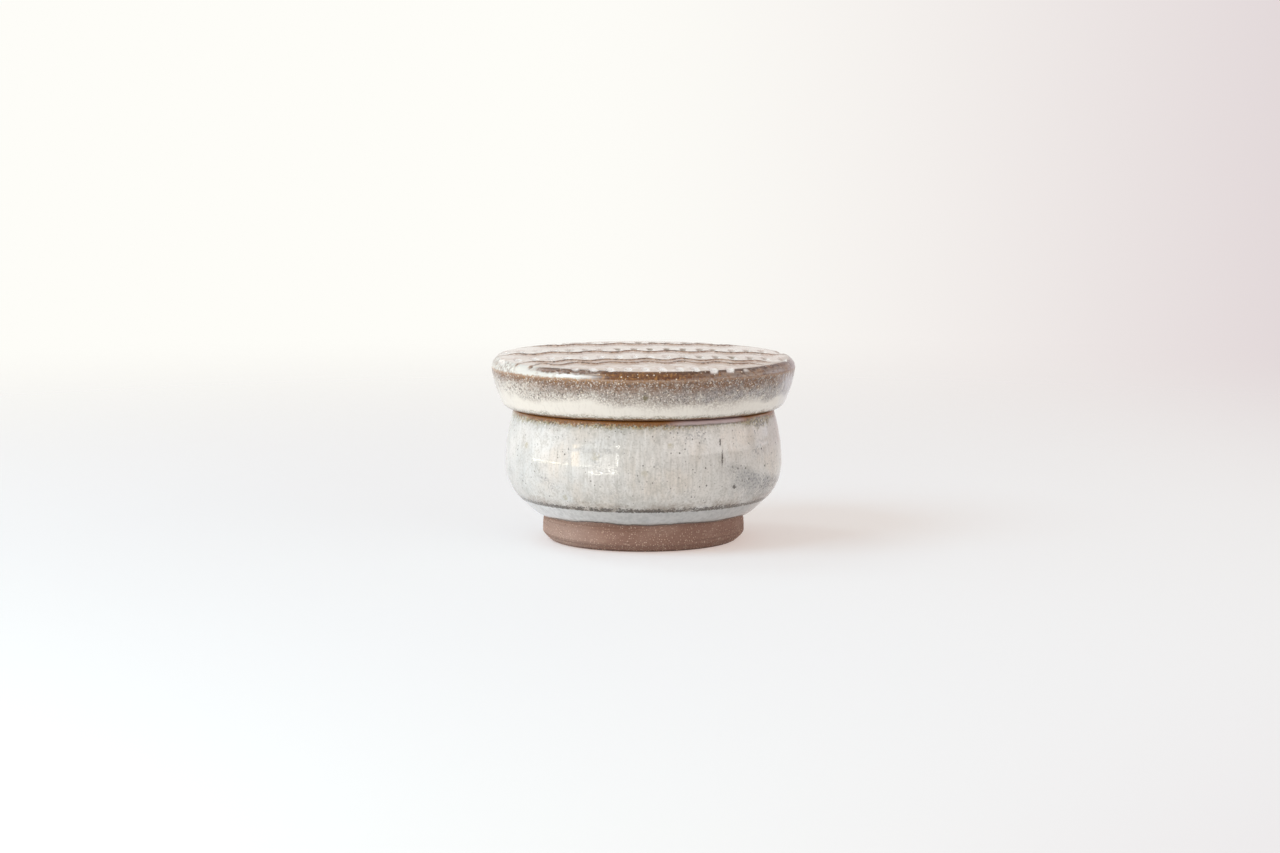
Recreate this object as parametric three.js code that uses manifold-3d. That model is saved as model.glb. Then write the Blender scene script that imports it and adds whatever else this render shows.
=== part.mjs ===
// Salt jar: a small stoneware jar, thrown and turned by hand, with an overhanging lid.
// The lid's top is pressed with rows of short strokes and raised wavy lines.
// Millimetres, +Z up. The origin lies on the table, under the middle of the foot.

import * as THREE from "three";
import { mergeVertices } from "three/addons/utils/BufferGeometryUtils.js";
import Module from "manifold-3d";

// Facets of the round forms
const TURN_FACETS = 64;
const SWEEP_FACETS = 4;
const ROUND_FACETS = 2;
const STROKE_FACETS_ROUND = 8;
const STROKE_FACETS_DEEP = 4;
const WAVE_FACETS_ROUND = 10;
const WAVE_FACETS_LONG = 7;

// Foot: a bare clay ring, with a recess turned out under the jar
const FOOT_RADIUS = 33.4;
const FOOT_HEIGHT = 8.6;
const FOOT_NECKING = 0.3;
const FOOT_BEVEL_WIDTH = 2.8;
const FOOT_BEVEL_HEIGHT = 2.7;
const FOOT_FLAT_WIDTH = 4.6;
const FOOT_RECESS_DEPTH = 5.4;
const FOOT_RECESS_FILLET = 1.6;

// Jar: the turned underside ends in a crisp edge, and the thrown wall bellies out above it
const JAR_HEIGHT = 43.7;
const TURNED_EDGE_RADIUS = 41.5;
const TURNED_EDGE_HEIGHT = 14.5;
const TURNED_EDGE_STEP = 0.4;
const BELLY_RADIUS = 45.75;
const BELLY_HEIGHT = 26;
const RIM_RADIUS = 43.2;
const RIM_BEVEL = 0.9;
const WALL_THICKNESS = 5.1;
const FLOOR_THICKNESS = 5.6;
const FLOOR_FLAT_RADIUS = 24;
const MOUTH_RADIUS = 38;
const MOUTH_ROUNDING = 1;

// Pulls of the jar's curves, each a share of the way out and a share of the way up
const UNDERSIDE_PULLS = [[0.3, 0.12], [0.75, 0.65]];
const BELLY_PULLS = [[0.6, 0.22], [1, 0.53]];
const SHOULDER_PULLS = [[0, 0.47], [0.7, 0.79]];
const INSIDE_PULLS = [[0, 0.36], [1, 0.68]];
const FLOOR_PULLS = [[0, 0.47], [0.52, 1]];

// Lid: a thick cap that overhangs the rim, hollow below, with a flange that drops into the mouth
const SEAT_GAP = 0.3;
const FLANGE_CLEARANCE = 1.3;
const FLANGE_DEPTH = 7;
const FLANGE_WALL = 4;
const FLANGE_ROUNDING = 1.2;
const CROWN_THICKNESS = 7.4;
const HOLLOW_FILLET = 3;
const LID_OVERHANG = 0.5;
const LID_WAIST_RADIUS = 47.3;
const LID_WAIST_HEIGHT = 3.3;
const LID_RADIUS = 50.1;
const LID_RIDGE_HEIGHT = 13;
const LID_EDGE_RADIUS = 48;
const LID_EDGE_HEIGHT = 16.7;
const LID_DOME = 1.2;
const LID_LEAN_BACK = 1.65;
const LID_LEAN_LEFT = 0.5;

// Pulls of the lid's curves, in the same shares
const LID_FOOT_PULLS = [[0.5, 0], [0.85, 0.4]];
const LID_SIDE_PULLS = [[0.5, 0.25], [0.75, 0.6]];
const LID_EDGE_PULL = 0.6;

// Pressed top: rows of strokes, and wavy lines raised between them, listed from the front.
// A place is counted back from the middle, and a row's shift and a wave's crest to the right.
const PATTERN_TURN_DEGREES = 4.2;
const STROKE_ROWS = [
  { place: -42.3, shift: 2.6 },
  { place: -13.5, shift: 1.4 },
  { place: 9, shift: 3.1 },
  { place: 37.5, shift: 0.8 },
];
const STROKE_PITCH = 5.4;
const STROKE_WIDTH = 2.9;
const STROKE_LENGTH = 9;
const STROKE_DEPTH = 0.9;
const WAVES = [
  { place: -29.1, crest: -0.9, length: 11.2 },
  { place: -22.4, crest: -1.2, length: 12.1 },
  { place: 0, crest: -3.9, length: 13 },
  { place: 27.5, crest: -6.4, length: 13.6 },
];
const WAVE_SWING = 1.9;
const WAVE_HEIGHT = 0.5;
const WAVE_WIDTH = 2.4;

// Heights and radii that follow from the sizes above
const floorHeight = FOOT_RECESS_DEPTH + FLOOR_THICKNESS;
const seatHeight = JAR_HEIGHT + SEAT_GAP;
const flangeRadius = MOUTH_RADIUS - FLANGE_CLEARANCE;
const hollowRadius = flangeRadius - FLANGE_WALL;
const flangeBottom = seatHeight - FLANGE_DEPTH;
const ridgeHeight = seatHeight + LID_RIDGE_HEIGHT;
const edgeHeight = seatHeight + LID_EDGE_HEIGHT;
const topHeight = edgeHeight + LID_DOME;
const hollowHeight = topHeight - CROWN_THICKNESS;
const patternTurn = THREE.MathUtils.degToRad(PATTERN_TURN_DEGREES);

const wasm = await Module();
wasm.setup();

// A height or radius part of the way from one to another.
const { lerp } = THREE.MathUtils;

// Half section of a turned piece: points of (radius, height), laid end to end.
class Profile {
  constructor(radius, height) {
    this.points = [new THREE.Vector2(radius, height)];
  }

  line(radius, height) {
    this.points.push(new THREE.Vector2(radius, height));
  }

  // Small rounded edge, drawn towards the corner that it takes off.
  round(cornerRadius, cornerHeight, radius, height) {
    const corner = new THREE.Vector2(cornerRadius, cornerHeight);
    const arc = new THREE.QuadraticBezierCurve(this.points.at(-1), corner, new THREE.Vector2(radius, height));
    this.points.push(...arc.getPoints(ROUND_FACETS).slice(1));
  }

  // Long curve of a wall, which leaves along its first pull and arrives along its second.
  sweep(pulls, radius, height) {
    const start = this.points.at(-1);
    const end = new THREE.Vector2(radius, height);
    const [first, second] = pulls.map(
      ([out, up]) => new THREE.Vector2(lerp(start.x, end.x, out), lerp(start.y, end.y, up)),
    );
    const curve = new THREE.CubicBezierCurve(start, first, second, end);
    this.points.push(...curve.getPoints(SWEEP_FACETS).slice(1));
  }

  // Turns the section about the upright axis.
  turned() {
    return new THREE.LatheGeometry(this.points, TURN_FACETS).rotateX(Math.PI / 2);
  }
}

// Makes a solid that can be joined and cut from a closed geometry.
function solidFrom(geometry) {
  geometry.deleteAttribute("normal");
  geometry.deleteAttribute("uv");
  const merged = mergeVertices(geometry);
  const vertProperties = new Float32Array(merged.getAttribute("position").array);
  const triVerts = new Uint32Array(merged.getIndex().array);
  return new wasm.Manifold(new wasm.Mesh({ numProp: 3, vertProperties, triVerts }));
}

// Makes a geometry from a solid that has been joined or cut.
function geometryFrom(solid) {
  const { vertProperties, triVerts } = solid.getMesh();
  const geometry = new THREE.BufferGeometry();
  geometry.setAttribute("position", new THREE.BufferAttribute(vertProperties, 3));
  geometry.setIndex(new THREE.BufferAttribute(triVerts, 1));
  return geometry;
}

// The jar's section runs from under the foot, up the outside, over the rim and down to the floor.
function jarBody() {
  const flatRadius = FOOT_RADIUS - FOOT_BEVEL_WIDTH;
  const recessRadius = flatRadius - FOOT_FLAT_WIDTH;
  const neckRadius = FOOT_RADIUS - FOOT_NECKING;
  const undersideRadius = TURNED_EDGE_RADIUS - TURNED_EDGE_STEP;
  const innerRadius = BELLY_RADIUS - WALL_THICKNESS;

  // Recess under the foot, the flat ring that the jar stands on and its bevelled edge
  const section = new Profile(0, FOOT_RECESS_DEPTH);
  section.line(recessRadius - FOOT_RECESS_FILLET, FOOT_RECESS_DEPTH);
  section.round(recessRadius, FOOT_RECESS_DEPTH, recessRadius, FOOT_RECESS_DEPTH - FOOT_RECESS_FILLET);
  section.line(recessRadius, 0);
  section.line(flatRadius, 0);
  section.line(FOOT_RADIUS, FOOT_BEVEL_HEIGHT);
  section.line(neckRadius, FOOT_HEIGHT);

  // Turned underside, a little hollow above the foot, up to its crisp edge
  section.sweep(UNDERSIDE_PULLS, undersideRadius, TURNED_EDGE_HEIGHT);
  section.line(TURNED_EDGE_RADIUS, TURNED_EDGE_HEIGHT + TURNED_EDGE_STEP);

  // Thrown wall, fullest at the belly
  section.sweep(BELLY_PULLS, BELLY_RADIUS, BELLY_HEIGHT);
  section.sweep(SHOULDER_PULLS, RIM_RADIUS, JAR_HEIGHT - RIM_BEVEL);

  // Rim, with a flat seat for the lid between its two rounded edges
  section.round(RIM_RADIUS, JAR_HEIGHT, RIM_RADIUS - RIM_BEVEL, JAR_HEIGHT);
  section.line(MOUTH_RADIUS + MOUTH_ROUNDING, JAR_HEIGHT);
  section.round(MOUTH_RADIUS, JAR_HEIGHT, MOUTH_RADIUS, JAR_HEIGHT - MOUTH_ROUNDING);

  // Inside wall, which follows the belly and sweeps into a flat floor
  section.sweep(INSIDE_PULLS, innerRadius, BELLY_HEIGHT);
  section.sweep(FLOOR_PULLS, FLOOR_FLAT_RADIUS, floorHeight);
  section.line(0, floorHeight);
  return section.turned();
}

// The lid before pressing: its section runs from the roof of its hollow, round the flange, to the top.
function lidBlank() {
  const seatRadius = RIM_RADIUS + LID_OVERHANG;

  // Hollow and the flange round it
  const section = new Profile(0, hollowHeight);
  section.line(hollowRadius - HOLLOW_FILLET, hollowHeight);
  section.round(hollowRadius, hollowHeight, hollowRadius, hollowHeight - HOLLOW_FILLET);
  section.line(hollowRadius, flangeBottom + FLANGE_ROUNDING);
  section.round(hollowRadius, flangeBottom, hollowRadius + FLANGE_ROUNDING, flangeBottom);
  section.line(flangeRadius - FLANGE_ROUNDING, flangeBottom);
  section.round(flangeRadius, flangeBottom, flangeRadius, flangeBottom + FLANGE_ROUNDING);
  section.line(flangeRadius, seatHeight);

  // Seat, then the rounded lower edge that overhangs the rim
  section.line(seatRadius, seatHeight);
  section.sweep(LID_FOOT_PULLS, LID_WAIST_RADIUS, seatHeight + LID_WAIST_HEIGHT);

  // Side, which leans out to a ridge, and the thick rounded edge above it
  section.sweep(LID_SIDE_PULLS, LID_RADIUS, ridgeHeight);
  section.round(LID_RADIUS, lerp(ridgeHeight, edgeHeight, LID_EDGE_PULL), LID_EDGE_RADIUS, edgeHeight);

  // Low dome of the top
  section.round(LID_EDGE_RADIUS / 2, topHeight, 0, topHeight);
  return section.turned();
}

// Height of the smooth dome over a place on the lid's top.
function domeHeight(x, y) {
  const share = (x * x + y * y) / LID_EDGE_RADIUS ** 2;
  return topHeight - LID_DOME * share;
}

// Line that a raised wave follows over the dome, from left to right.
class WaveLine extends THREE.Curve {
  constructor(wave, sink) {
    super();
    this.wave = wave;
    this.sink = sink;
  }

  getPoint(share, target = new THREE.Vector3()) {
    const { place, crest, length } = this.wave;
    const x = (2 * share - 1) * LID_RADIUS;
    const y = place + WAVE_SWING * Math.cos((2 * Math.PI * (x - crest)) / length);
    return target.set(x, y, domeHeight(x, y) - this.sink);
  }
}

// One raised wave: a round bead, sunk into the dome until only its crest stands proud.
function waveRidge(wave) {
  const beadRadius = (WAVE_HEIGHT ** 2 + (WAVE_WIDTH / 2) ** 2) / (2 * WAVE_HEIGHT);
  const bead = new THREE.Shape();
  bead.absarc(0, 0, beadRadius, 0, 2 * Math.PI);
  const ridge = new THREE.ExtrudeGeometry(bead, {
    extrudePath: new WaveLine(wave, beadRadius - WAVE_HEIGHT),
    steps: Math.round((2 * LID_RADIUS * WAVE_FACETS_LONG) / wave.length),
    curveSegments: WAVE_FACETS_ROUND / 2,
    bevelEnabled: false,
  });
  return ridge.rotateZ(patternTurn);
}

// One pressed stroke: a long shallow hollow across its row.
function strokeHollow(x, y) {
  const hollow = new THREE.SphereGeometry(1, STROKE_FACETS_ROUND, STROKE_FACETS_DEEP);
  hollow.rotateX(Math.PI / 2);
  hollow.scale(STROKE_WIDTH / 2, STROKE_LENGTH / 2, STROKE_DEPTH);
  return hollow.translate(x, y, domeHeight(x, y)).rotateZ(patternTurn);
}

// Room over the lid's top, out to its edge, in which the waves are raised.
function topRoom() {
  const section = new Profile(0, hollowHeight);
  section.line(LID_EDGE_RADIUS, hollowHeight);
  section.line(LID_EDGE_RADIUS, edgeHeight);
  section.line(LID_EDGE_RADIUS - WAVE_HEIGHT, edgeHeight + WAVE_HEIGHT);
  section.line(0, topHeight + WAVE_HEIGHT + LID_DOME);
  return section.turned();
}

// Tips the top a little, as it dried: higher at the back and on the left, level from the ridge down.
function leanTop(geometry) {
  const position = geometry.getAttribute("position");
  for (let i = 0; i < position.count; i += 1) {
    const left = -position.getX(i) / (2 * LID_EDGE_RADIUS);
    const back = position.getY(i) / (2 * LID_EDGE_RADIUS);
    const height = position.getZ(i);
    const share = THREE.MathUtils.clamp((height - ridgeHeight) / (edgeHeight - ridgeHeight), 0, 1);
    position.setZ(i, height + share * (LID_LEAN_LEFT * left + LID_LEAN_BACK * back));
  }
  return geometry;
}

// The finished lid: waves raised and strokes pressed on its top, which then leans.
function lid() {
  const room = solidFrom(topRoom());
  let solid = solidFrom(lidBlank());
  for (const wave of WAVES) {
    solid = solid.add(solidFrom(waveRidge(wave)).intersect(room));
  }
  for (const { place, shift } of STROKE_ROWS) {
    const reach = Math.sqrt(Math.max(LID_EDGE_RADIUS ** 2 - place ** 2, 0));
    const first = shift - STROKE_PITCH * Math.floor((reach + shift) / STROKE_PITCH);
    for (let x = first; x <= reach; x += STROKE_PITCH) {
      solid = solid.subtract(solidFrom(strokeHollow(x, place)));
    }
  }
  return leanTop(geometryFrom(solid));
}

function piece(name, geometry, material) {
  const mesh = new THREE.Mesh(geometry, material);
  mesh.name = name;
  return mesh;
}

const jarGlaze = new THREE.MeshStandardMaterial({ color: 0xd3d1c9, roughness: 0.3, metalness: 0 });
const lidGlaze = new THREE.MeshStandardMaterial({ color: 0xcbbfb4, roughness: 0.28, metalness: 0 });

const saltJar = new THREE.Group();
saltJar.add(piece("jar_body", jarBody(), jarGlaze));
saltJar.add(piece("lid", lid(), lidGlaze));

export default saltJar;
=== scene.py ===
"""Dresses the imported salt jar: thrown stoneware under a milky ash glaze, with a lid pressed in rows."""

import logging
import math
from collections.abc import Iterator
from contextlib import contextmanager
from dataclasses import dataclass, field
from enum import Enum
from typing import Any

import bmesh
import bpy
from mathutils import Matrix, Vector


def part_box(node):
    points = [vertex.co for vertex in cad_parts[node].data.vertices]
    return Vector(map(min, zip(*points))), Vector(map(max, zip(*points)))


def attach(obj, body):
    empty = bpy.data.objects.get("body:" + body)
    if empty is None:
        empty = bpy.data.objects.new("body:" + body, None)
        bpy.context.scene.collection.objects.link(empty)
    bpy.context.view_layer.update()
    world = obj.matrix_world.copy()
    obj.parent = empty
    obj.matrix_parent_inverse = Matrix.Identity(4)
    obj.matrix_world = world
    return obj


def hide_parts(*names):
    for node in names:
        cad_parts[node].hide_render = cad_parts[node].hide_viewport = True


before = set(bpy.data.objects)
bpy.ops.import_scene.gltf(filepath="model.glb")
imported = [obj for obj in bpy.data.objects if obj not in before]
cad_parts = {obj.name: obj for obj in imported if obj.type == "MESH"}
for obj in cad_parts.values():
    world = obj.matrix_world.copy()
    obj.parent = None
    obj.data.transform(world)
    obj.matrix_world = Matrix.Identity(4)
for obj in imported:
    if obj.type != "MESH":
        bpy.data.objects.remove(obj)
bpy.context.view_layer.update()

log = logging.getLogger("salt_jar")

MM = 0.001
CUBIC_CM = 1e6  # cubic centimetres in a cubic metre

Point = tuple[float, float]
Place = tuple[float, float, float]
Pulls = tuple[Point, ...]


class Coat(Enum):
    """Whether the potter glazed a surface or wiped it back to the clay."""

    BARE = 0.0
    GLAZED = 1.0


class Side(Enum):
    """Whether a surface is on the pot's outside or hidden within it."""

    INNER = 0.0
    OUTER = 1.0


def add_node(tree: bpy.types.NodeTree, kind: str, inputs: dict[str | int, Any] | None = None,
             **settings: Any) -> bpy.types.Node:
    """Adds a node with its settings and links.

    Args:
        tree: the node tree that gets the node.
        kind: Blender's name for the node.
        inputs: a value, socket or node for each input, by the input's name or number.
        **settings: the node's own properties.

    Returns:
        The new node.
    """
    node = tree.nodes.new(kind)
    for name, value in settings.items():
        setattr(node, name, value)
    for key, value in (inputs or {}).items():
        socket = node.inputs[key] if isinstance(key, int) else next(
            each for each in node.inputs if each.name == key and each.enabled)
        if isinstance(value, bpy.types.Node):
            value = next(each for each in value.outputs if each.enabled)
        if isinstance(value, bpy.types.NodeSocket):
            tree.links.new(value, socket)
        else:
            socket.default_value = value
    return node


def linear(code: str) -> tuple[float, float, float, float]:
    """Turns an sRGB hex colour into the linear colour that shaders take.

    Args:
        code: the colour as #RRGGBB.

    Returns:
        Red, green, blue and an alpha of 1.
    """
    shares = [int(code[i:i + 2], 16) / 255 for i in (1, 3, 5)]
    red, green, blue = (s / 12.92 if s <= 0.04045 else ((s + 0.055) / 1.055) ** 2.4 for s in shares)
    return red, green, blue, 1.0


def between(start: float, end: float, share: float) -> float:
    """Gives the value that lies a share of the way from start to end."""
    return start + (end - start) * share


def pulled(start: Point, end: Point, shares: Pulls) -> Pulls:
    """Gives the points that a curve is drawn towards.

    Args:
        start: where the curve sets out.
        end: where it arrives.
        shares: how far out and how far up each point lies on the way, as shares of it.

    Returns:
        The points, as radius and height.
    """
    return tuple((between(start[0], end[0], out), between(start[1], end[1], up)) for out, up in shares)


@dataclass
class Section:
    """A pot's section in millimetres, from the axis of its underside out, up and in to the axis again."""

    places: list[Point] = field(default_factory=list)
    coats: list[float] = field(default_factory=list)
    sides: list[float] = field(default_factory=list)
    coat: Coat = Coat.BARE
    side: Side = Side.INNER

    def face(self, coat: Coat, side: Side) -> None:
        """Says what the next stretches are: glazed or bare, outside or hidden."""
        self.coat, self.side = coat, side

    def curve(self, end: Point, step: float, pulls: Pulls = ()) -> None:
        """Goes on to a point along a line, or along a curve that is drawn towards its pulls.

        Args:
            end: radius and height of the point reached.
            step: the spacing of the points on the way.
            pulls: none for a line, one for a rounded corner, two for a long sweep.
        """
        stops = [self.places[-1] if self.places else end, *pulls, end]
        legs = (math.dist(a, b) for a, b in zip(stops, stops[1:]))
        count = max(2, round(sum(legs) / step)) if self.places else 1
        for number in range(1, count + 1):
            layer = stops
            while len(layer) > 1:
                layer = [(between(a[0], b[0], number / count), between(a[1], b[1], number / count))
                         for a, b in zip(layer, layer[1:])]
            self.places.append(layer[0])
            self.coats.append(self.coat.value)
            self.sides.append(self.side.value)

    def soften(self, passes: int) -> None:
        """Rubs the corners down, as a wet sponge does, and leaves the two ends on the axis.

        Args:
            passes: how often the sponge goes over them.
        """
        for _ in range(passes):
            inner = [tuple((a + 2 * b + c) / 4 for a, b, c in zip(*three))
                     for three in zip(self.places, self.places[1:], self.places[2:])]
            self.places = [self.places[0], *inner, self.places[-1]]

    def guide(self, name: str) -> bpy.types.Object:
        """Makes the chain of points that the wheel's node tree turns.

        Args:
            name: the new object's name.

        Returns:
            An object whose mesh holds the section in metres, with its coat and side.
        """
        mesh = bpy.data.meshes.new(name)
        points = [(radius * MM, 0.0, height * MM) for radius, height in self.places]
        mesh.from_pydata(points, [(i, i + 1) for i in range(len(points) - 1)], [])
        for label, values in (("coat", self.coats), ("outer", self.sides)):
            mesh.attributes.new(label, "FLOAT", "POINT").data.foreach_set("value", values)
        shape = bpy.data.objects.new(name, mesh)
        bpy.context.scene.collection.objects.link(shape)
        return shape


class NodeShape:
    """A Geometry Nodes tree with named inputs, run on an object and then made plain mesh."""

    def __init__(self, name: str, sizes: dict[str, float | int]) -> None:
        """Opens the tree and names its inputs.

        Args:
            name: the tree's name.
            sizes: the tree's inputs with their values. A whole number makes a whole-number input.
        """
        self.tree = bpy.data.node_groups.new(name, "GeometryNodeTree")
        self.sizes = sizes
        face = self.tree.interface
        face.new_socket("Geometry", in_out="INPUT", socket_type="NodeSocketGeometry")
        for label, value in sizes.items():
            kind = "NodeSocketInt" if isinstance(value, int) else "NodeSocketFloat"
            face.new_socket(label, in_out="INPUT", socket_type=kind)
        face.new_socket("Material", in_out="INPUT", socket_type="NodeSocketMaterial")
        face.new_socket("Geometry", in_out="OUTPUT", socket_type="NodeSocketGeometry")
        self.given = self.add("NodeGroupInput").outputs

    def add(self, kind: str, inputs: dict[str | int, Any] | None = None, **settings: Any) -> bpy.types.Node:
        """Adds a node to this tree."""
        return add_node(self.tree, kind, inputs, **settings)

    def reshape(self, geometry: Any, marks: dict[str, Any], move: dict[str, Any]) -> bpy.types.Node:
        """Leaves marks on a mesh's points for the materials to read, and then moves the points.

        Args:
            geometry: the mesh.
            marks: the values that are left, by the names that they get.
            move: the points' new Position, or their Offset.

        Returns:
            The node that gives the moved mesh.
        """
        for label, value in marks.items():
            geometry = self.add("GeometryNodeStoreNamedAttribute",
                                {"Geometry": geometry, "Name": label, "Value": value},
                                data_type="FLOAT", domain="POINT")
        return self.add("GeometryNodeSetPosition", {"Geometry": geometry, **move})

    def close(self, geometry: bpy.types.Node) -> None:
        """Ends the tree in plain, smooth geometry of one material.

        Args:
            geometry: the node that gives the shape.
        """
        plain = self.add("GeometryNodeRealizeInstances", {"Geometry": geometry})
        smooth = self.add("GeometryNodeSetShadeSmooth", {"Geometry": plain})
        dressed = self.add("GeometryNodeSetMaterial",
                           {"Geometry": smooth, "Material": self.given["Material"]})
        self.add("NodeGroupOutput", {"Geometry": dressed})

    def run(self, shape: bpy.types.Object, material: bpy.types.Material) -> None:
        """Runs the tree on an object and keeps the result as its mesh.

        Args:
            shape: the object whose mesh the tree starts from, and which takes the result.
            material: the finish that the result gets.
        """
        modifier = shape.modifiers.new(self.tree.name, "NODES")
        modifier.node_group = self.tree
        for item in self.tree.interface.items_tree:
            if item.in_out == "INPUT" and item.name in self.sizes:
                modifier[item.identifier] = self.sizes[item.name]
            elif item.in_out == "INPUT" and item.name == "Material":
                modifier[item.identifier] = material
        ready = shape.evaluated_get(bpy.context.evaluated_depsgraph_get())
        mesh = bpy.data.meshes.new_from_object(ready, depsgraph=bpy.context.evaluated_depsgraph_get())
        shape.modifiers.remove(modifier)
        shape.data = mesh


class WheelTurning(NodeShape):
    """Turns a section on the wheel into a closed wall that is slightly uneven, as thrown clay is."""

    LINE_SCALE = 2.6  # how often the glaze's end turns up or down on its way round
    LINE_DETAIL = 3.0
    LINE_SPREAD = (0.3, 0.7)  # the noise at the lowest and at the highest point of that end
    COAT_FADE = (-0.2 * MM, 0.25 * MM)  # from bare clay to full glaze, about that end
    ROLL_FADE = (0.6 * MM, 4.5 * MM)  # from the glaze's full roll to none, above that end
    OVAL_SCALE = 1.1  # how often the wall swells or shrinks on its way round
    OVAL_DETAIL = 1.0
    OVAL_CLIMB = 14.0  # how fast the swelling changes on the way up, per metre
    OVAL_SPREAD = (0.25, 0.75)
    RING_SPREAD = (0.2, 0.8)
    SEAM = 1e-6  # points closer than this, in metres, become one

    def __init__(self, points_along: int, steps_round: int, glaze_line: float, line_swing: float,
                 glaze_lip: float, out_of_round: float, ring_depth: float, ring_spacing: float,
                 seed: float) -> None:
        """Builds the tree.

        Args:
            points_along: the number of points in the section.
            steps_round: the number of facets round the axis.
            glaze_line: the height where the glaze ends, in metres.
            line_swing: how far that line wanders up and down, in metres.
            glaze_lip: how far the glaze stands out at its end, as a share of the radius.
            out_of_round: how far the wall strays from a circle, as a share of the radius.
            ring_depth: the depth of the throwing rings, as a share of the radius.
            ring_spacing: the height of a throwing ring, in metres.
            seed: the place in the noise that the unevenness is taken from.
        """
        super().__init__("wheel_turning", {
            "Points Along": points_along, "Steps Round": steps_round, "Glaze Line": glaze_line,
            "Line Swing": line_swing, "Glaze Lip": glaze_lip, "Out Of Round": out_of_round,
            "Ring Depth": ring_depth, "Ring Spacing": ring_spacing, "Seed": seed})
        add, given = self.add, self.given
        rows = add("ShaderNodeMath", {0: given["Steps Round"], 1: 1.0}, operation="ADD")
        sheet = add("GeometryNodeMeshGrid", {"Size X": 1.0, "Size Y": 1.0, "Vertices Y": rows,
                                             "Vertices X": given["Points Along"]})
        position = add("GeometryNodeInputPosition")
        on_sheet = add("ShaderNodeSeparateXYZ", {0: position}).outputs
        last = add("ShaderNodeMath", {0: given["Points Along"], 1: 1.0}, operation="SUBTRACT")
        along = add("ShaderNodeMath", {0: on_sheet["X"], 1: 0.5}, operation="ADD")
        order = add("ShaderNodeMath", {0: along, 1: last}, operation="MULTIPLY")
        number = add("FunctionNodeFloatToInt", {0: order}, rounding_mode="ROUND")
        drawn, coated, outer = (
            add("GeometryNodeSampleIndex", {"Geometry": given["Geometry"], "Value": value, "Index": number},
                data_type=kind, domain="POINT")
            for value, kind in ((position, "FLOAT_VECTOR"),
                                (add("GeometryNodeInputNamedAttribute", {"Name": "coat"}), "FLOAT"),
                                (add("GeometryNodeInputNamedAttribute", {"Name": "outer"}), "FLOAT")))
        section = add("ShaderNodeSeparateXYZ", {0: drawn}).outputs
        radius, height = section["X"], section["Z"]
        angle = add("ShaderNodeMath", {0: on_sheet["Y"], 1: -math.tau}, operation="MULTIPLY")
        east = add("ShaderNodeMath", {0: angle}, operation="COSINE")
        north = add("ShaderNodeMath", {0: angle}, operation="SINE")

        heading = add("ShaderNodeCombineXYZ", {"X": east, "Y": north})
        wander = add("ShaderNodeTexNoise", {"Vector": heading, "W": given["Seed"], "Scale": self.LINE_SCALE,
                                            "Detail": self.LINE_DETAIL}, noise_dimensions="4D")
        strayed = self.swing(wander, self.LINE_SPREAD, given["Line Swing"])
        line = add("ShaderNodeMath", {0: given["Glaze Line"], 1: strayed}, operation="ADD")
        over = add("ShaderNodeMath", {0: height, 1: line}, operation="SUBTRACT")
        reached = add("ShaderNodeMapRange", {"Value": over, "From Min": self.COAT_FADE[0],
                                             "From Max": self.COAT_FADE[1]}, interpolation_type="SMOOTHSTEP")
        coat = add("ShaderNodeMath", {0: reached, 1: coated}, operation="MULTIPLY")
        roll = add("ShaderNodeMapRange", {"Value": over, "From Min": self.ROLL_FADE[0],
                                          "From Max": self.ROLL_FADE[1], "To Min": given["Glaze Lip"],
                                          "To Max": 0.0}, interpolation_type="SMOOTHSTEP")
        rolled = add("ShaderNodeMath", {0: roll, 1: coat}, operation="MULTIPLY")
        lip = add("ShaderNodeMath", {0: rolled, 1: outer}, operation="MULTIPLY")

        up = add("ShaderNodeMath", {0: height, 1: self.OVAL_CLIMB}, operation="MULTIPLY")
        climbing = add("ShaderNodeCombineXYZ", {"X": east, "Y": north, "Z": up})
        oval = add("ShaderNodeTexNoise", {"Vector": climbing, "W": given["Seed"], "Scale": self.OVAL_SCALE,
                                          "Detail": self.OVAL_DETAIL}, noise_dimensions="4D")
        ring = add("ShaderNodeMath", {0: height, 1: given["Ring Spacing"]}, operation="DIVIDE")
        throwing = add("ShaderNodeTexNoise", {"W": ring, "Scale": 1.0, "Detail": 0.0}, noise_dimensions="1D")
        uneven = add("ShaderNodeMath", {0: self.swing(oval, self.OVAL_SPREAD, given["Out Of Round"]),
                                        1: self.swing(throwing, self.RING_SPREAD, given["Ring Depth"])},
                     operation="ADD")
        swell = add("ShaderNodeMath", {0: uneven, 1: lip}, operation="ADD")
        true_radius = add("ShaderNodeMath", {0: swell, 1: radius, 2: radius}, operation="MULTIPLY_ADD")
        thrown = add("ShaderNodeCombineXYZ", {
            "X": add("ShaderNodeMath", {0: east, 1: true_radius}, operation="MULTIPLY"),
            "Y": add("ShaderNodeMath", {0: north, 1: true_radius}, operation="MULTIPLY"), "Z": height})
        turned = self.reshape(sheet, {"coat": coat, "outer": outer, "over_line": over}, {"Position": thrown})
        self.close(add("GeometryNodeMergeByDistance", {"Geometry": turned, "Distance": self.SEAM}))

    def swing(self, noise: bpy.types.Node, spread: Point, amount: bpy.types.NodeSocket) -> bpy.types.Node:
        """Lets a noise swing a value either way.

        Args:
            noise: the noise.
            spread: the noise at the two ends of the swing.
            amount: how far the value swings.

        Returns:
            A node that goes from less the amount to the amount.
        """
        least = self.add("ShaderNodeMath", {0: amount, 1: -1.0}, operation="MULTIPLY")
        return self.add("ShaderNodeMapRange", {"Value": noise, "From Min": spread[0], "From Max": spread[1],
                                               "To Min": least, "To Max": amount})


@dataclass(frozen=True)
class StrokeRow:
    """A row of strokes, in millimetres: how far behind the axis it lies and how far right a stroke lies."""

    place: float
    shift: float


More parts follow.
